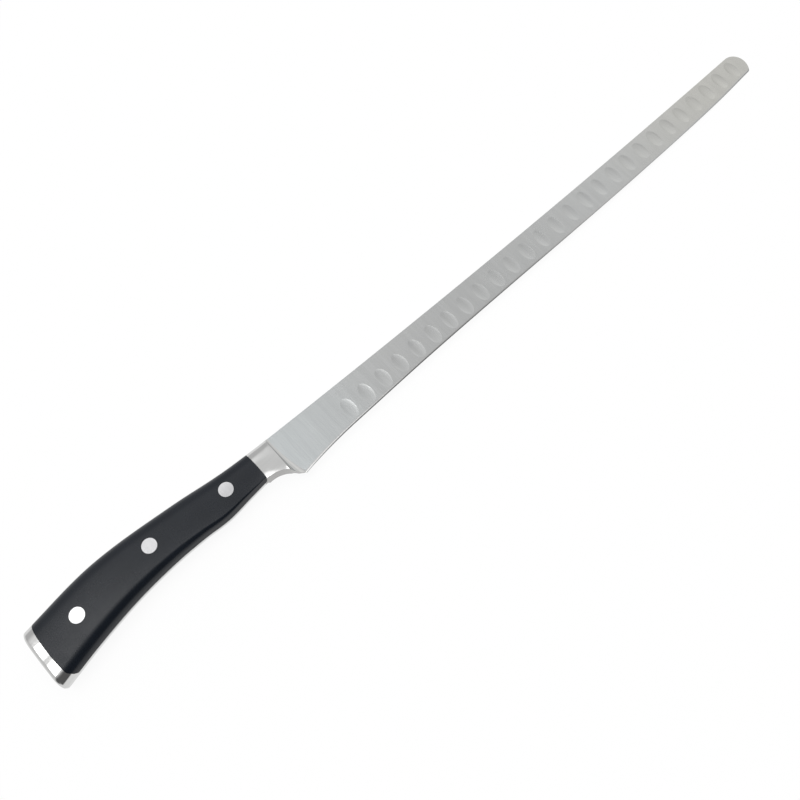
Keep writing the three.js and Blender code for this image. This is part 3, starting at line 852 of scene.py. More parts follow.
def scallop_tree():
    """Grinds a row of shallow oval dishes into each side of a blade."""
    tree, given, result = new_group(
        "scallop_grinder", "GeometryNodeTree",
        [
            ("Blade", "Geometry", None),
            ("Upper Count", "Int", 1),
            ("Lower Count", "Int", 1),
            ("First", "Float", 0.0),
            ("Pitch", "Float", 0.01),
            ("Width", "Float", 0.006),
            ("Height", "Float", 0.01),
            ("Depth", "Float", 0.0002),
            ("Half Thickness", "Float", 0.0005),
            ("Slope", "Float", 0.0),
            ("Finish", "Material", None),
        ],
        [("Blade", "Geometry")],
    )
    sizes = given.outputs
    bite = 0.3
    rim = math.sqrt(1 - (1 - bite) ** 2)
    stone = put(tree, "GeometryNodeMeshUVSphere", {"Segments": 48, "Rings": 40, "Radius": 1.0})
    reach = maths(tree, "DIVIDE", sizes["Depth"], bite)
    wheel = put(tree, "GeometryNodeTransform", {
        "Geometry": stone.outputs["Mesh"],
        "Scale": combine(
            tree, maths(tree, "DIVIDE", sizes["Width"], 2 * rim),
            maths(tree, "DIVIDE", sizes["Height"], 2 * rim), reach,
        ),
        "Translation": combine(tree, 0.0, 0.0, maths(tree, "SUBTRACT", reach, sizes["Depth"])),
    })
    half_pitch = maths(tree, "MULTIPLY", sizes["Pitch"], 0.5)
    sides = (
        (1, "Upper Count", sizes["First"], sizes["Slope"]),
        (-1, "Lower Count", maths(tree, "ADD", sizes["First"], half_pitch),
         maths(tree, "SUBTRACT", math.pi, sizes["Slope"])),
    )
    rows = []
    for side, count, first, lean in sides:
        height = maths(tree, "MULTIPLY", sizes["Half Thickness"], side)
        places = put(tree, "GeometryNodeMeshLine", {
            "Count": sizes[count],
            "Start Location": combine(tree, first, 0.0, height),
            "Offset": combine(tree, sizes["Pitch"], 0.0, 0.0),
        }, mode="OFFSET")
        row = put(tree, "GeometryNodeInstanceOnPoints", {
            "Points": places.outputs["Mesh"],
            "Instance": wheel.outputs["Geometry"],
            "Rotation": combine(tree, lean, 0.0, 0.0),
        })
        rows.append(realized(tree, row.outputs["Instances"]))
    ground = put(tree, "GeometryNodeMeshBoolean", {
        "Mesh 1": sizes["Blade"], "Mesh 2": rows,
    }, operation="DIFFERENCE", solver="MANIFOLD")
    return end_tree(tree, ground.outputs["Mesh"], sizes["Finish"], result)


def rivet_tree(name, hollow):
    """Stands a headed rivet on each point and grinds it flush with the grip."""
    tree, given, result = new_group(
        name, "GeometryNodeTree",
        [
            ("Places", "Geometry", None),
            ("Grip", "Object", None),
            ("Turn", "Float", 0.0),
            ("Head", "Float", 0.007),
            ("Head Depth", "Float", 0.003),
            ("Shank", "Float", 0.004),
            ("Bore", "Float", 0.003),
            ("Finish", "Material", None),
        ],
        [("Rivets", "Geometry")],
    )
    sizes = given.outputs
    turn = combine(tree, sizes["Turn"], 0.0, 0.0)

    def round_bars(diameter, rise, stretch=None):
        """Bars of a set length above or below their points, or stretched to reach below them."""
        blank = put(tree, "GeometryNodeMeshCylinder", {
            "Vertices": ROUND_SIDES,
            "Radius": maths(tree, "MULTIPLY", diameter, 0.5),
            "Depth": 1.0 if stretch else ROOM,
        })
        placed = put(tree, "GeometryNodeTransform", {
            "Geometry": blank.outputs["Mesh"],
            "Translation": (0.0, 0.0, -0.5 if stretch else rise * ROOM / 2),
        })
        inputs = {
            "Points": sizes["Places"], "Instance": placed.outputs["Geometry"], "Rotation": turn,
        }
        if stretch:
            inputs["Scale"] = combine(tree, 1.0, 1.0, stretch)
        bars = put(tree, "GeometryNodeInstanceOnPoints", inputs).outputs["Instances"]
        if stretch:
            bars = put(tree, "GeometryNodeTranslateInstances", {
                "Instances": bars, "Translation": combine(tree, 0.0, 0.0, rise),
            }).outputs[0]
        return realized(tree, bars)

    def boolean(operation, inputs):
        return put(tree, "GeometryNodeMeshBoolean", inputs,
                   operation=operation, solver="EXACT").outputs["Mesh"]

    sunk = maths(tree, "MULTIPLY", sizes["Head Depth"], 0.5)
    reach = put(tree, "GeometryNodeInputNamedAttribute", {"Name": "shank"}, data_type="FLOAT")
    length = maths(tree, "ADD", reach.outputs["Attribute"], sunk)
    heads = round_bars(sizes["Head"], 1)
    shanks = round_bars(sizes["Shank"], sunk, length)
    grip = put(tree, "GeometryNodeObjectInfo", {"Object": sizes["Grip"]},
               transform_space="ORIGINAL").outputs["Geometry"]
    joined = boolean("UNION", {"Mesh 2": [heads, shanks]})
    flush = boolean("INTERSECT", {"Mesh 2": [joined, grip]})
    if hollow:
        flush = boolean("DIFFERENCE", {"Mesh 1": flush, "Mesh 2": round_bars(sizes["Bore"], -1)})
    return end_tree(tree, flush, sizes["Finish"], result)


def grip_body(lines):
    """The whole grip as one lofted body: rounded butt, scales, bolster and plunge fillet."""
    grip, bolster = lines.grip, lines.bolster
    quarter, count = math.pi / 2, RING_STEPS
    rings = []
    for turn in steps(0, quarter, count["butt"]):
        x = -grip.grip_length + grip.butt_round * (1 - math.cos(turn))
        rings.append(lines.grip_ring(x, grip.butt_round * (1 - math.sin(turn))))
    butt_end = grip.butt_round - grip.grip_length
    lean_full = -bolster.bolster_length - grip.underside_lean_fade
    arc_start, break_start = -bolster.finger_arc_at, -2 * bolster.front_break
    rings += [lines.grip_ring(x) for x in steps(butt_end, lean_full, count["grip"])[1:]]
    rings += [
        lines.grip_ring(x) for x in steps(lean_full, -bolster.bolster_length, count["lean"])[1:]
    ]
    rings += [lines.bolster_ring(x) for x in steps(arc_start, break_start, count["bolster"])]
    rings += [lines.front_ring(turn) for turn in steps(0, quarter, count["break"])]
    rings += [lines.fillet_ring(turn) for turn in steps(0, quarter, count["fillet"])]
    return loft("grip_blank", rings)


def soft_lower(first, second, width):
    """The lower of two values, blended where they are less than a width apart."""
    near = max(0, width - abs(first - second)) / width
    return min(first, second) - near * near * width / 4


def blade_blank(lines):
    """The blade before its scallops: flat sides, a rounded spine and a bevel."""
    blade = lines.blade
    outline = lines.blade_outline()
    count = len(outline)
    across_shoulder = (1, 0.62, 0.3, 0, -0.3, -0.62, -1)
    turns = steps(0, math.pi / 2, len(across_shoulder) + 1)
    ring = 2 * len(turns)
    points = []
    for i, (x, y, keen) in enumerate(outline):
        before, after = outline[i - 1], outline[(i + 1) % count]
        along = Vector((after[0] - before[0], after[1] - before[1])).normalized()
        inward = Vector((along.y, -along.x))
        bevel, blend = lines.bevel_width(x), blade.bevel_blend
        insets = [bevel + blend * part for part in across_shoulder] + [(bevel - blend) / 2, 0]
        slope = (lines.blade_half(y + inward.y * bevel) - blade.keen_thickness / 2) / bevel
        width = blend * (slope - lines.taper * inward.y)
        upper = []
        for turn, ground_in in zip(turns, insets):
            inset = mix(blade.spine_break * (1 - math.sin(turn)), ground_in, keen)
            place = Vector((x, y)) + inward * inset
            half = lines.blade_half(place.y)
            rounded = half - blade.spine_break * (1 - math.cos(turn))
            ground = soft_lower(blade.keen_thickness / 2 + slope * inset, half, width)
            upper.append((place.x, place.y, mix(rounded, ground, keen)))
        points += upper + [(px, py, -pz) for px, py, pz in reversed(upper)]
    faces = [tuple(i * ring + k for i in range(count)) for k in (0, ring - 1)]
    for i in range(count):
        a, b = i * ring, (i + 1) % count * ring
        faces += [(a + k, a + k + 1, b + k + 1, b + k) for k in range(ring - 1)]
    return body_from("blade_blank", points, faces)


def finger_cut(lines):
    """The tool that cuts the finger curve through bolster and heel."""
    bolster = lines.bolster
    start = lines.grip.belly_front - OVERLAP
    turn = math.asin((bolster.finger_arc_at - bolster.finger_arc_setback) / bolster.finger_radius)
    beyond = lines.blade.heel_overhang + lines.blade.heel_drop
    outline = [
        (-bolster.finger_arc_at + bolster.finger_radius * math.sin(a),
         start - bolster.finger_radius * (1 - math.cos(a)))
        for a in steps(0, turn, OUTLINE_STEPS["finger"])
    ]
    outline += [
        (bolster.heel_shoulder, lines.heel_line(bolster.heel_shoulder)),
        (beyond, lines.heel_line(beyond)), (beyond, -ROOM), (-bolster.finger_arc_at, -ROOM),
    ]
    return plate("finger_cut", outline, -ROOM, ROOM)


def clean(body):
    """Welds what the cuts left double and drops slivers without area."""
    shaped = bmesh.new()
    shaped.from_mesh(body.data)
    bmesh.ops.remove_doubles(shaped, verts=shaped.verts, dist=WELD)
    bmesh.ops.dissolve_degenerate(shaped, edges=shaped.edges, dist=WELD)
    shaped.to_mesh(body.data)
    shaped.free()


def shade(body, crease=lambda place, flat: CREASE):
    """Smooth faces with hard edges wherever the bend is past the crease for that place."""
    shaped = bmesh.new()
    shaped.from_mesh(body.data)
    for face in shaped.faces:
        face.smooth = True
    for edge in shaped.edges:
        if len(edge.link_faces) != 2:
            raise RuntimeError(f"{body.name} is not closed")
        first, second = edge.link_faces
        middle = (edge.verts[0].co + edge.verts[1].co) / 2
        flat = min(abs(first.normal.z), abs(second.normal.z)) > FLAT_FACE
        edge.smooth = edge.calc_face_angle(0.0) < crease(middle, flat)
    shaped.to_mesh(body.data)
    shaped.free()


def hand_over(body, name, lines, nodes):
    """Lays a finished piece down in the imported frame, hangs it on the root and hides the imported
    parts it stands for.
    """
    body.name = name
    body.data.name = name
    body.data.transform(lines.lay_down())
    work = body.modifiers.new("even_normals", "WEIGHTED_NORMAL")
    work.keep_sharp = True
    settle(body)
    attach(body, "root")
    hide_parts(*nodes)


def noise(tree, place, scale, detail, roughness=0.5, distortion=0.0):
    """A cloudy pattern."""
    return put(tree, "ShaderNodeTexNoise", {
        "Vector": place, "Scale": scale, "Detail": detail,
        "Roughness": roughness, "Distortion": distortion,
    }).outputs["Fac"]


def grind_lines(name):
    """Fine parallel lines that a belt leaves, with a slower unevenness from pass to pass."""
    tree, given, result = new_group(
        name, "ShaderNodeTree",
        [("Vector", "Vector", None), ("Stretch", "Vector", (1.0, 1.0, 1.0))],
        [("Lines", "Float"), ("Passes", "Float")],
    )
    drawn = put(tree, "ShaderNodeVectorMath", {
        0: given.outputs["Vector"], 1: given.outputs["Stretch"],
    }, operation="MULTIPLY").outputs[0]
    fine = noise(tree, drawn, 1.0, 4.0, 0.62)
    slow = noise(tree, drawn, 0.11, 2.0)
    feed(tree, result, {
        "Lines": rescale(tree, fine, 0.28, 0.72, 0.0, 1.0),
        "Passes": rescale(tree, slow, 0.3, 0.7, 0.0, 1.0),
    })
    return tree


def handling_marks(name):
    """Soft smudges and a few hairline scratches from use and wiping."""
    tree, given, result = new_group(
        name, "ShaderNodeTree",
        [("Vector", "Vector", None), ("Smudge Scale", "Float", 60.0),
         ("Scratch Scale", "Float", 900.0)],
        [("Smudges", "Float"), ("Scratches", "Float")],
    )
    cloud = noise(tree, given.outputs["Vector"], given.outputs["Smudge Scale"], 5.0, 0.55, 0.7)
    turned = put(tree, "ShaderNodeMapping", {
        "Vector": given.outputs["Vector"],
        "Rotation": (0.0, 0.0, math.radians(24)),
        "Scale": (0.035, 1.0, 1.0),
    }).outputs["Vector"]
    hair = noise(tree, turned, given.outputs["Scratch Scale"], 1.0)
    feed(tree, result, {
        "Smudges": rescale(tree, cloud, 0.42, 0.74, 0.0, 1.0),
        "Scratches": rescale(tree, hair, 0.69, 0.74, 0.0, 1.0),
    })
    return tree


def effect(tree, build, inputs):
    """Places a shared effect in a material; its group is built the first time it is asked for."""
    name = build.__name__
    group = bpy.data.node_groups.get(name) or build(name)
    return put(tree, "ShaderNodeGroup", inputs, node_tree=group).outputs


def new_material(name):
    """An empty node material: its tree, Principled shader and Object coordinates."""
    material = bpy.data.materials.new(name)
    material.use_nodes = True
    tree = material.node_tree
    tree.nodes.clear()
    shader = tree.nodes.new("ShaderNodeBsdfPrincipled")
    out = tree.nodes.new("ShaderNodeOutputMaterial")
    tree.links.new(shader.outputs["BSDF"], out.inputs["Surface"])
    place = put(tree, "ShaderNodeTexCoord").outputs["Object"]
    return material, tree, shader, place


def blended(tree, factor, first, second):
    """A colour between two colours or colour sockets, by a varying factor."""
    node = put(tree, "ShaderNodeMix", {"Factor": factor}, data_type="RGBA")
    sockets = [entry for entry in node.inputs if entry.type == "RGBA"]
    for entry, value in zip(sockets, (first, second)):
        if isinstance(value, bpy.types.NodeSocket):
            tree.links.new(value, entry)
        else:
            entry.default_value = value
    return next(entry for entry in node.outputs if entry.type == "RGBA")


def toned(tree, factor, base, low, high):
    """A colour that varies between two multiples of its base."""
    ends = [(*(min(1.0, channel * part) for channel in base), 1) for part in (low, high)]
    return blended(tree, factor, *ends)


def steel(name, base, roughness, stretch, depth, smudges, scratches, heel=None, tip=None):
    """Bare steel: grind lines in tone, gloss and relief, with smudges and hairline scratches.

    A blade takes on two further tones of painted reflection, lighter and cooler towards its heel and
    warmer towards its tip."""
    line_gloss, smudge_gloss, scratch_gloss, scratch_depth = 0.05, 0.05, 0.03, 0.15
    material, tree, shader, place = new_material(name)
    lines = effect(tree, grind_lines, {"Vector": place, "Stretch": stretch})
    worn = effect(tree, handling_marks, {
        "Vector": place, "Smudge Scale": smudges, "Scratch Scale": scratches,
    })
    tone = maths(tree, "MULTIPLY", lines["Lines"], 0.4)
    tone = maths(tree, "MULTIPLY_ADD", lines["Passes"], 0.6, tone)
    shown = toned(tree, tone, base, *STEEL_TONES)
    # The heel's and the tip's tones are painted reflection
    if heel and tip:
        along = put(tree, "ShaderNodeSeparateXYZ", {0: place}).outputs["X"]
        for other, (near, away) in ((heel, HEEL_REFLECTION_FADE), (tip, TIP_REFLECTION_FADE)):
            other_tone = toned(tree, tone, other, *STEEL_TONES)
            shown = blended(tree, rescale(tree, along, near, away, 1.0, 0.0), shown, other_tone)
    gloss = maths(tree, "MULTIPLY_ADD", lines["Lines"], line_gloss, roughness - line_gloss / 2)
    gloss = maths(tree, "MULTIPLY_ADD", worn["Smudges"], smudge_gloss, gloss)
    gloss = maths(tree, "MULTIPLY_ADD", worn["Scratches"], scratch_gloss, gloss)
    height = maths(tree, "MULTIPLY_ADD", worn["Scratches"], -scratch_depth, lines["Lines"])
    relief = put(tree, "ShaderNodeBump", {"Strength": 0.35, "Distance": depth, "Height": height})
    feed(tree, shader, {
        "Base Color": shown, "Roughness": gloss, "Normal": relief.outputs["Normal"],
        "Metallic": 1.0,
    })
    return material


def resin(name, base, roughness):
    """Moulded near-black resin: a very fine texture, faint clouding and wiped patches."""
    grain_gloss, smudge_gloss, scratch_depth = 0.06, 0.05, 0.4
    material, tree, shader, place = new_material(name)
    grain = noise(tree, place, 2600.0, 3.0, 0.6)
    cloud = noise(tree, place, 110.0, 3.0)
    worn = effect(tree, handling_marks, {
        "Vector": place, "Smudge Scale": 75.0, "Scratch Scale": 1300.0,
    })
    tone = maths(tree, "MULTIPLY_ADD", cloud, 0.7, maths(tree, "MULTIPLY", grain, 0.3))
    gloss = maths(tree, "MULTIPLY_ADD", grain, grain_gloss, roughness - grain_gloss / 2)
    gloss = maths(tree, "MULTIPLY_ADD", worn["Smudges"], smudge_gloss, gloss)
    height = maths(tree, "MULTIPLY_ADD", worn["Scratches"], -scratch_depth, grain)
    relief = put(tree, "ShaderNodeBump", {
        "Strength": 0.25, "Distance": 0.00003, "Height": height,
    })
    feed(tree, shader, {
        "Base Color": toned(tree, tone, base, 0.7, 1.35), "Roughness": gloss,
        "Normal": relief.outputs["Normal"], "Specular IOR Level": 0.4,
    })
    return material


class HAMKNIFE_OT_forging(bpy.types.Operator):
    """Forge the scalloped blade with its bolster, tang and butt cap"""

    bl_idname = "hamknife.forging"
    bl_label = "Forged blade and tang"

    def execute(self, context):
        scene = context.scene
        lines = KnifeLines(scene)
        blade, scallops, grip = lines.blade, lines.scallops, lines.grip
        finish = scene.hamknife_finish
        ground = steel(
            "satin_ground_blade", finish.blade_steel, finish.blade_roughness,
            stretch=(2600.0, 60.0, 60.0), depth=0.000006, smudges=45.0, scratches=700.0,
            heel=finish.cool_steel, tip=finish.warm_steel,
        )
        polished = steel(
            "polished_bolster", finish.polished_steel, finish.polish_roughness,
            stretch=(140.0, 2400.0, 2400.0), depth=0.000004, smudges=70.0, scratches=1000.0,
        )
        honed = steel(
            "honed_edge", finish.polished_steel, finish.edge_roughness,
            stretch=(300.0, 1800.0, 1800.0), depth=0.000003, smudges=90.0, scratches=1200.0,
        )
        # Satin finger curve, its tone darkened with painted shade for the shadowed floor it mirrors
        curve = steel(
            "satin_finger_curve", finish.curve_steel, finish.blade_roughness,
            stretch=(160.0, 160.0, 2200.0), depth=0.000004, smudges=70.0, scratches=1000.0,
        )
        room = blade.blade_length - scallops.tip_margin - scallops.start
        blade_body = run_tree(blade_blank(lines), scallop_tree(), {
            "Upper Count": int(room / scallops.pitch) + 1,
            "Lower Count": int((room - scallops.pitch / 2) / scallops.pitch) + 1,
            "First": scallops.start,
            "Pitch": scallops.pitch,
            "Width": scallops.width,
            "Height": scallops.height,
            "Depth": scallops.depth,
            "Half Thickness": lines.blade_half(0),
            "Slope": math.atan(lines.taper),
            "Finish": ground,
        })
        body = grip_body(lines)
        tang = grip.tang_thickness / 2
        pocket = lines.scale_zone(grip.seat_gap)
        carve(body, plate("pocket", pocket, tang, ROOM))
        carve(body, plate("pocket", pocket, -ROOM, -tang))
        carve(body, blade_body, "UNION")
        carve(body, finger_cut(lines))
        hole = lines.rivets.sleeve_outer + 2 * grip.seat_gap
        for place in lines.rivet_places():
            carve(body, bar("rivet_hole", place, hole, -2 * tang, 2 * tang))
        clean(body)

        past_fillet = 1.02
        dishes_to = blade.blade_length - scallops.tip_margin + scallops.width / 2
        dish_top = scallops.height / 2 + 0.0004
        above_dishes, tip_corner_top = 0.006, -0.0045

        def on_blade(place):
            start = past_fillet * lines.fillet_radius(place.y)
            return place.x > lines.bolster_front(place.y) + start

        def crease(place, flat):
            beside_tip = place.x > dishes_to and place.y > tip_corner_top
            if not flat or not on_blade(place) or place.y > above_dishes or beside_tip:
                return CREASE
            return DISH_CREASE if abs(place.y) < dish_top else BEVEL_CREASE

        shade(body, crease)
        body.data.materials.clear()
        finishes = (ground, polished, honed, curve)
        for finished in finishes:
            body.data.materials.append(finished)
        curve_start = -lines.bolster.bolster_length - grip.front_sweep / 2
        for face in body.data.polygons:
            x, y = face.center.x, face.center.y
            if on_blade(face.center):
                bevel_top = lines.blade_edge(x) + lines.bevel_width(x) + blade.bevel_blend
                finished = honed if y < bevel_top else ground
            else:
                # Faces of the finger curve that look down take the steel darkened with painted shade
                in_shaded_curve = face.normal.y < SHADED_UNDERSIDE and x > curve_start
                finished = curve if in_shaded_curve else polished
            face.material_index = finishes.index(finished)
        hand_over(body, "forged_blade", lines, ["forged_blade_and_tang"])
        return {"FINISHED"}


class HAMKNIFE_OT_scales(bpy.types.Operator):
    """Mould the two scales and bore them for the rivets"""

    bl_idname = "hamknife.scales"
    bl_label = "Scales"

    def execute(self, context):
        scene = context.scene
        lines = KnifeLines(scene)
        grip, rivets = lines.grip, lines.rivets
        finish = scene.hamknife_finish
        black = resin("satin_black_scale", finish.resin, finish.resin_roughness)
        inner = grip.tang_thickness / 2 + grip.seat_gap
        hole = rivets.sleeve_outer + 2 * grip.seat_gap
        recess = rivets.head + 2 * grip.seat_gap
        for name, side in (("scale_upper", 1), ("scale_lower", -1)):
            body = grip_body(lines)
            low, high = sorted((side * inner, side * ROOM))
            carve(body, plate("zone", lines.scale_zone(0), low, high), "INTERSECT")
            for place in lines.rivet_places():
                low, high = sorted((0, side * ROOM))
                carve(body, bar("bore", place, hole, low, high))
                low, high = sorted((side * (place[2] - grip.seat_gap), side * ROOM))
                carve(body, bar("recess", place, recess, low, high))
            clean(body)
            shade(body)
            body.data.materials.clear()
            body.data.materials.append(black)
            hand_over(body, f"black_{name}", lines, [name])
        return {"FINISHED"}


class HAMKNIFE_OT_rivets(bpy.types.Operator):
    """Set the rivet pins and sleeves flush with the scales"""

    bl_idname = "hamknife.rivets"
    bl_label = "Rivets"

    def execute(self, context):
        scene = context.scene
        lines = KnifeLines(scene)
        grip, rivets = lines.grip, lines.rivets
        finish = scene.hamknife_finish
        bright = steel(
            "flush_rivet_head", finish.rivet_steel, finish.rivet_roughness,
            stretch=(2200.0, 160.0, 160.0), depth=0.000006, smudges=160.0, scratches=1500.0,
        )
        blank = grip_body(lines)
        blank.hide_render = True
        pin = rivets.sleeve_bore - 2 * grip.seat_gap
        halves = (
            ("pin", 1, 0.0, pin, False),
            ("sleeve", -1, math.pi, rivets.sleeve_outer, True),
        )
        for kind, side, turn, shank, hollow in halves:
            places = lines.rivet_places()
            mesh = bpy.data.meshes.new(f"rivet_{kind}s")
            mesh.from_pydata([(x, y, side * seat) for x, y, seat in places], [], [])
            reach = mesh.attributes.new("shank", "FLOAT", "POINT")
            for entry, (_, _, seat) in zip(reach.data, places):
                entry.value = 2 * seat - rivets.end_gap
            body = add_object(f"rivet_{kind}s", mesh)
            run_tree(body, rivet_tree(f"rivet_{kind}_maker", hollow), {
                "Grip": blank,
                "Turn": turn,
                "Head": rivets.head,
                "Head Depth": rivets.head_depth,
                "Shank": shank,
                "Bore": rivets.sleeve_bore,
                "Finish": bright,
            })
            clean(body)
            shade(body)
            nodes = [f"rivet_{kind}_{place}" for place in ("front", "middle", "rear")]
            hand_over(body, f"rivet_{kind}s", lines, nodes)
        bpy.data.objects.remove(blank, do_unlink=True)
        return {"FINISHED"}


def lamp(name, place, target, size, power, mirrored):
    """A rectangular softbox, its width along the knife, turned to a target.

    It is mirrored in the knife or left out of reflections."""
    light = bpy.data.lights.new(name, "AREA")
    light.shape = "RECTANGLE"
    light.size, light.size_y = size
    light.energy = power
    holder = add_object(name, light)
    back = (Vector(place) - Vector(target)).normalized()
    along = Vector((0.0, 1.0, 0.0)).cross(back).normalized()
    turn = Matrix((along, back.cross(along), back)).transposed().to_4x4()
    holder.matrix_world = Matrix.Translation(place) @ turn
    holder.visible_camera = False
    holder.visible_glossy = mirrored


def ramp(tree, value, low, high, stops):
    """A colour that follows stops along a value between two ends."""
    part = put(tree, "ShaderNodeMapRange", {"Value": value, "From Min": low, "From Max": high})
    node = put(tree, "ShaderNodeValToRGB", {"Fac": part.outputs["Result"]})
    tones = node.color_ramp
    tones.interpolation = "EASE"
    while len(tones.elements) < len(stops):
        tones.elements.new(0.5)
    for entry, (at, tone) in zip(tones.elements, stops):
        entry.position = (at - low) / (high - low)
        entry.color = (*tone, 1)
    return node.outputs["Color"]


def band(tree, value, start, full, fade, end):
    """One between two values, with soft sides, and nothing beyond."""
    return maths(tree, "MULTIPLY", rescale(tree, value, start, full, 0.0, 1.0),
                 rescale(tree, value, fade, end, 1.0, 0.0))


def studio_sky(world, settings):
    """A bright ceiling that falls off behind the camera and towards the far horizon.

    A slope in brightness lies over the blade, narrow strips lie over the grip, a wall stands low
    behind the camera to both sides of the knife, and a white backdrop stands all round, for the
    camera and for reflections. Each is a range of directions: X along the knife, Y to its spine
    and Z up, where a direction has the length 1."""
    world.use_nodes = True
    tree = world.node_tree
    tree.nodes.clear()
    way = put(tree, "ShaderNodeTexCoord").outputs["Generated"]
    parts = put(tree, "ShaderNodeSeparateXYZ", {0: way}).outputs
    along, across = parts["X"], parts["Y"]
    tone = ramp(tree, along, -0.5, 1.0, [
        (-0.5, (0.95, 0.95, 0.95)),
        (-0.12, (1.0, 1.0, 1.0)),
        (0.08, (0.97, 0.97, 0.97)),
        (0.25, (0.87, 0.87, 0.87)),
        (0.42, (0.8, 0.8, 0.8)),
        (0.56, (0.98, 0.98, 0.98)),
        (0.75, (1.03, 1.03, 1.02)),
        (0.95, (0.7, 0.7, 0.69)),
    ])
    ceiling_edge = rescale(tree, along, -0.26, -0.1, 0.1, -0.14)
    behind = maths(tree, "SUBTRACT", across, ceiling_edge)
    near = rescale(tree, behind, -0.34, 0.0, settings.dark_side, settings.ceiling)
    beside = maths(tree, "SUBTRACT", 1.0, band(tree, along, -0.6, -0.42, 0.36, 0.6))
    wall = rescale(tree, across, -0.82, -0.52, settings.back_wall, 0.0)
    near = maths(tree, "MULTIPLY_ADD", wall, beside, near)
    far = rescale(tree, across, 0.45, 0.75, 1.0, 0.76)
    rise = rescale(tree, across, -0.05, 0.4, -0.17, 0.17)
    slope = maths(tree, "MULTIPLY_ADD", rise, rescale(tree, along, 0.08, 0.22, 0.0, 1.0), 1.0)
    glow = maths(tree, "MULTIPLY", maths(tree, "MULTIPLY", near, far), slope)
    strips = (
        (settings.slot, (-0.15, -0.11, -0.05, 0.0), (-0.24, -0.12, 0.18, 0.32)),
        (settings.slot / 2, (-0.05, 0.0, 0.015, 0.065), (-0.24, -0.12, 0.06, 0.12)),
        (settings.rim, (0.36, 0.44, 0.6, 0.76), (-0.4, -0.2, 0.1, 0.2)),
        (settings.ridge, (0.06, 0.1, 0.17, 0.21), (-0.34, -0.24, -0.1, -0.03)),
        (settings.ridge / 7, (0.22, 0.26, 0.4, 0.46), (-0.34, -0.24, -0.06, 0.0)),
    )
    for strength, width, length in strips:
        strip = maths(tree, "MULTIPLY", band(tree, across, *width), band(tree, along, *length))
        glow = maths(tree, "MULTIPLY_ADD", strip, strength, glow)
    rays = put(tree, "ShaderNodeLightPath").outputs
    mirrored = maths(tree, "ADD", rays["Is Glossy Ray"], rays["Is Transmission Ray"])
    backdrop = rescale(tree, parts["Z"], 0.04, 0.2, 1.0, 0.0)
    seen = maths(tree, "MULTIPLY_ADD", mirrored, backdrop, rays["Is Camera Ray"])
    room = put(tree, "ShaderNodeBackground", {"Color": tone, "Strength": glow})
    white = put(tree, "ShaderNodeBackground", {"Color": (1.0, 1.0, 1.0, 1.0), "Strength": 1.0})
    mixed = put(tree, "ShaderNodeMixShader", {
        0: seen, 1: room.outputs[0], 2: white.outputs[0],
    })
    put(tree, "ShaderNodeOutputWorld", {"Surface": mixed.outputs[0]})


def floor_finish(base):
    """Pale paper that reads white to the camera and still takes the shadow."""
    seen_white = 0.92
    material, tree, shader, place = new_material("pale_floor")
    tooth = noise(tree, place, 35.0, 4.0)
    feed(tree, shader, {
        "Base Color": toned(tree, tooth, base, 0.99, 1.0),
        "Roughness": 1.0, "Specular IOR Level": 0.0,
    })
    paper = put(tree, "ShaderNodeEmission", {"Color": (1.0, 1.0, 1.0, 1.0), "Strength": 1.0})
    rays = put(tree, "ShaderNodeLightPath").outputs
    seen = maths(tree, "ADD", rays["Is Glossy Ray"], rays["Is Transmission Ray"])
    seen = maths(tree, "MAXIMUM", seen, rays["Is Camera Ray"])
    mixed = put(tree, "ShaderNodeMixShader", {
        0: maths(tree, "MULTIPLY", seen, seen_white),
        1: shader.outputs["BSDF"], 2: paper.outputs[0],
    })
    out = next(node for node in tree.nodes if node.bl_idname == "ShaderNodeOutputMaterial")
    feed(tree, out, {"Surface": mixed.outputs[0]})
    return material


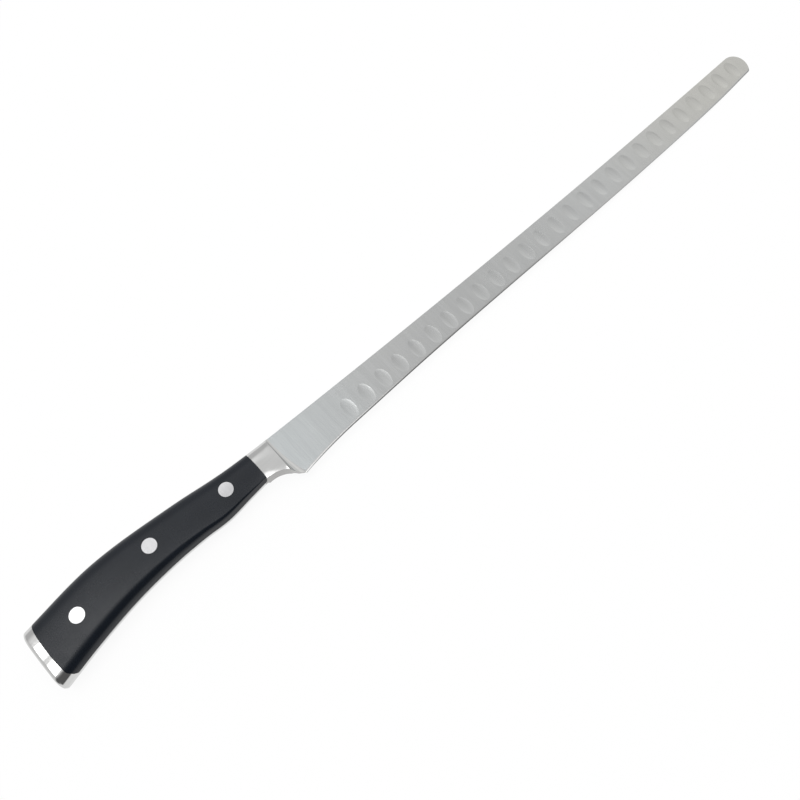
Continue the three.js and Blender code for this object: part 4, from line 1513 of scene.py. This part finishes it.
class HAMKNIFE_OT_studio(bpy.types.Operator):
    """Set up the floor, the soft light and the camera"""

    bl_idname = "hamknife.studio"
    bl_label = "Studio"

    def execute(self, context):
        scene = context.scene
        settings = scene.hamknife_studio
        lines = KnifeLines(scene)
        scene.view_settings.view_transform = "Standard"
        mesh = bpy.data.meshes.new("floor")
        reach = 4.0
        corners = [(-reach, -reach, 0), (reach, -reach, 0), (reach, reach, 0), (-reach, reach, 0)]
        mesh.from_pydata(corners, [], [(0, 1, 2, 3)])
        mesh.materials.append(floor_finish(settings.floor))
        floor = add_object("floor", mesh)
        scene.world = bpy.data.worlds.new("studio")
        studio_sky(scene.world, settings)
        on_grip, key_size = (-0.2, 0.0, 0.0), (0.62, 0.36)
        lamp("key_panel_far", (-0.97, 1.03, 2.73), on_grip, key_size, settings.key, True)
        lamp("key_panel_near", (-0.97, 0.49, 2.86), on_grip, key_size, settings.key, True)
        on_knife, fill_size = (0.0, 0.0, 0.0), (1.8, 1.8)
        lamp("ceiling_fill", (0.0, 0.1, 1.6), on_knife, fill_size, settings.fill, False)

        half_pixel = 0.5 / PICTURE
        optics = bpy.data.cameras.new("camera")
        optics.sensor_fit = "HORIZONTAL"
        optics.sensor_width = 36
        optics.lens = settings.lens
        optics.shift_x, optics.shift_y = -half_pixel, half_pixel
        optics.clip_start = 0.01
        camera = add_object("camera", optics)
        camera.matrix_world = lines.lay_down() @ Matrix(CAMERA_VIEW)
        scene.camera = camera
        return {"FINISHED"}


class HAMKNIFE_PT_sidebar(bpy.types.Panel):
    """The knife's pieces and its studio, in the 3D view's sidebar"""

    bl_label = "Ham knife"
    bl_idname = "HAMKNIFE_PT_sidebar"
    bl_space_type = "VIEW_3D"
    bl_region_type = "UI"
    bl_category = "Ham knife"

    def draw(self, context):
        column = self.layout.column(align=True)
        for maker in MAKERS:
            column.operator(maker.bl_idname)


SETTINGS = {
    "hamknife_blade": HAMKNIFE_PG_blade,
    "hamknife_scallops": HAMKNIFE_PG_scallops,
    "hamknife_bolster": HAMKNIFE_PG_bolster,
    "hamknife_grip": HAMKNIFE_PG_grip,
    "hamknife_rivets": HAMKNIFE_PG_rivets,
    "hamknife_finish": HAMKNIFE_PG_finish,
    "hamknife_studio": HAMKNIFE_PG_studio,
}
MAKERS = (HAMKNIFE_OT_forging, HAMKNIFE_OT_scales, HAMKNIFE_OT_rivets, HAMKNIFE_OT_studio)


def register():
    for name, group in SETTINGS.items():
        bpy.utils.register_class(group)
        setattr(bpy.types.Scene, name, bpy.props.PointerProperty(type=group))
    for maker in (*MAKERS, HAMKNIFE_PT_sidebar):
        bpy.utils.register_class(maker)


def unregister():
    for maker in reversed((*MAKERS, HAMKNIFE_PT_sidebar)):
        bpy.utils.unregister_class(maker)
    for name, group in SETTINGS.items():
        delattr(bpy.types.Scene, name)
        bpy.utils.unregister_class(group)


def main():
    register()
    bpy.ops.hamknife.forging()
    bpy.ops.hamknife.scales()
    bpy.ops.hamknife.rivets()
    bpy.ops.hamknife.studio()


if __name__ == "__main__":
    main()
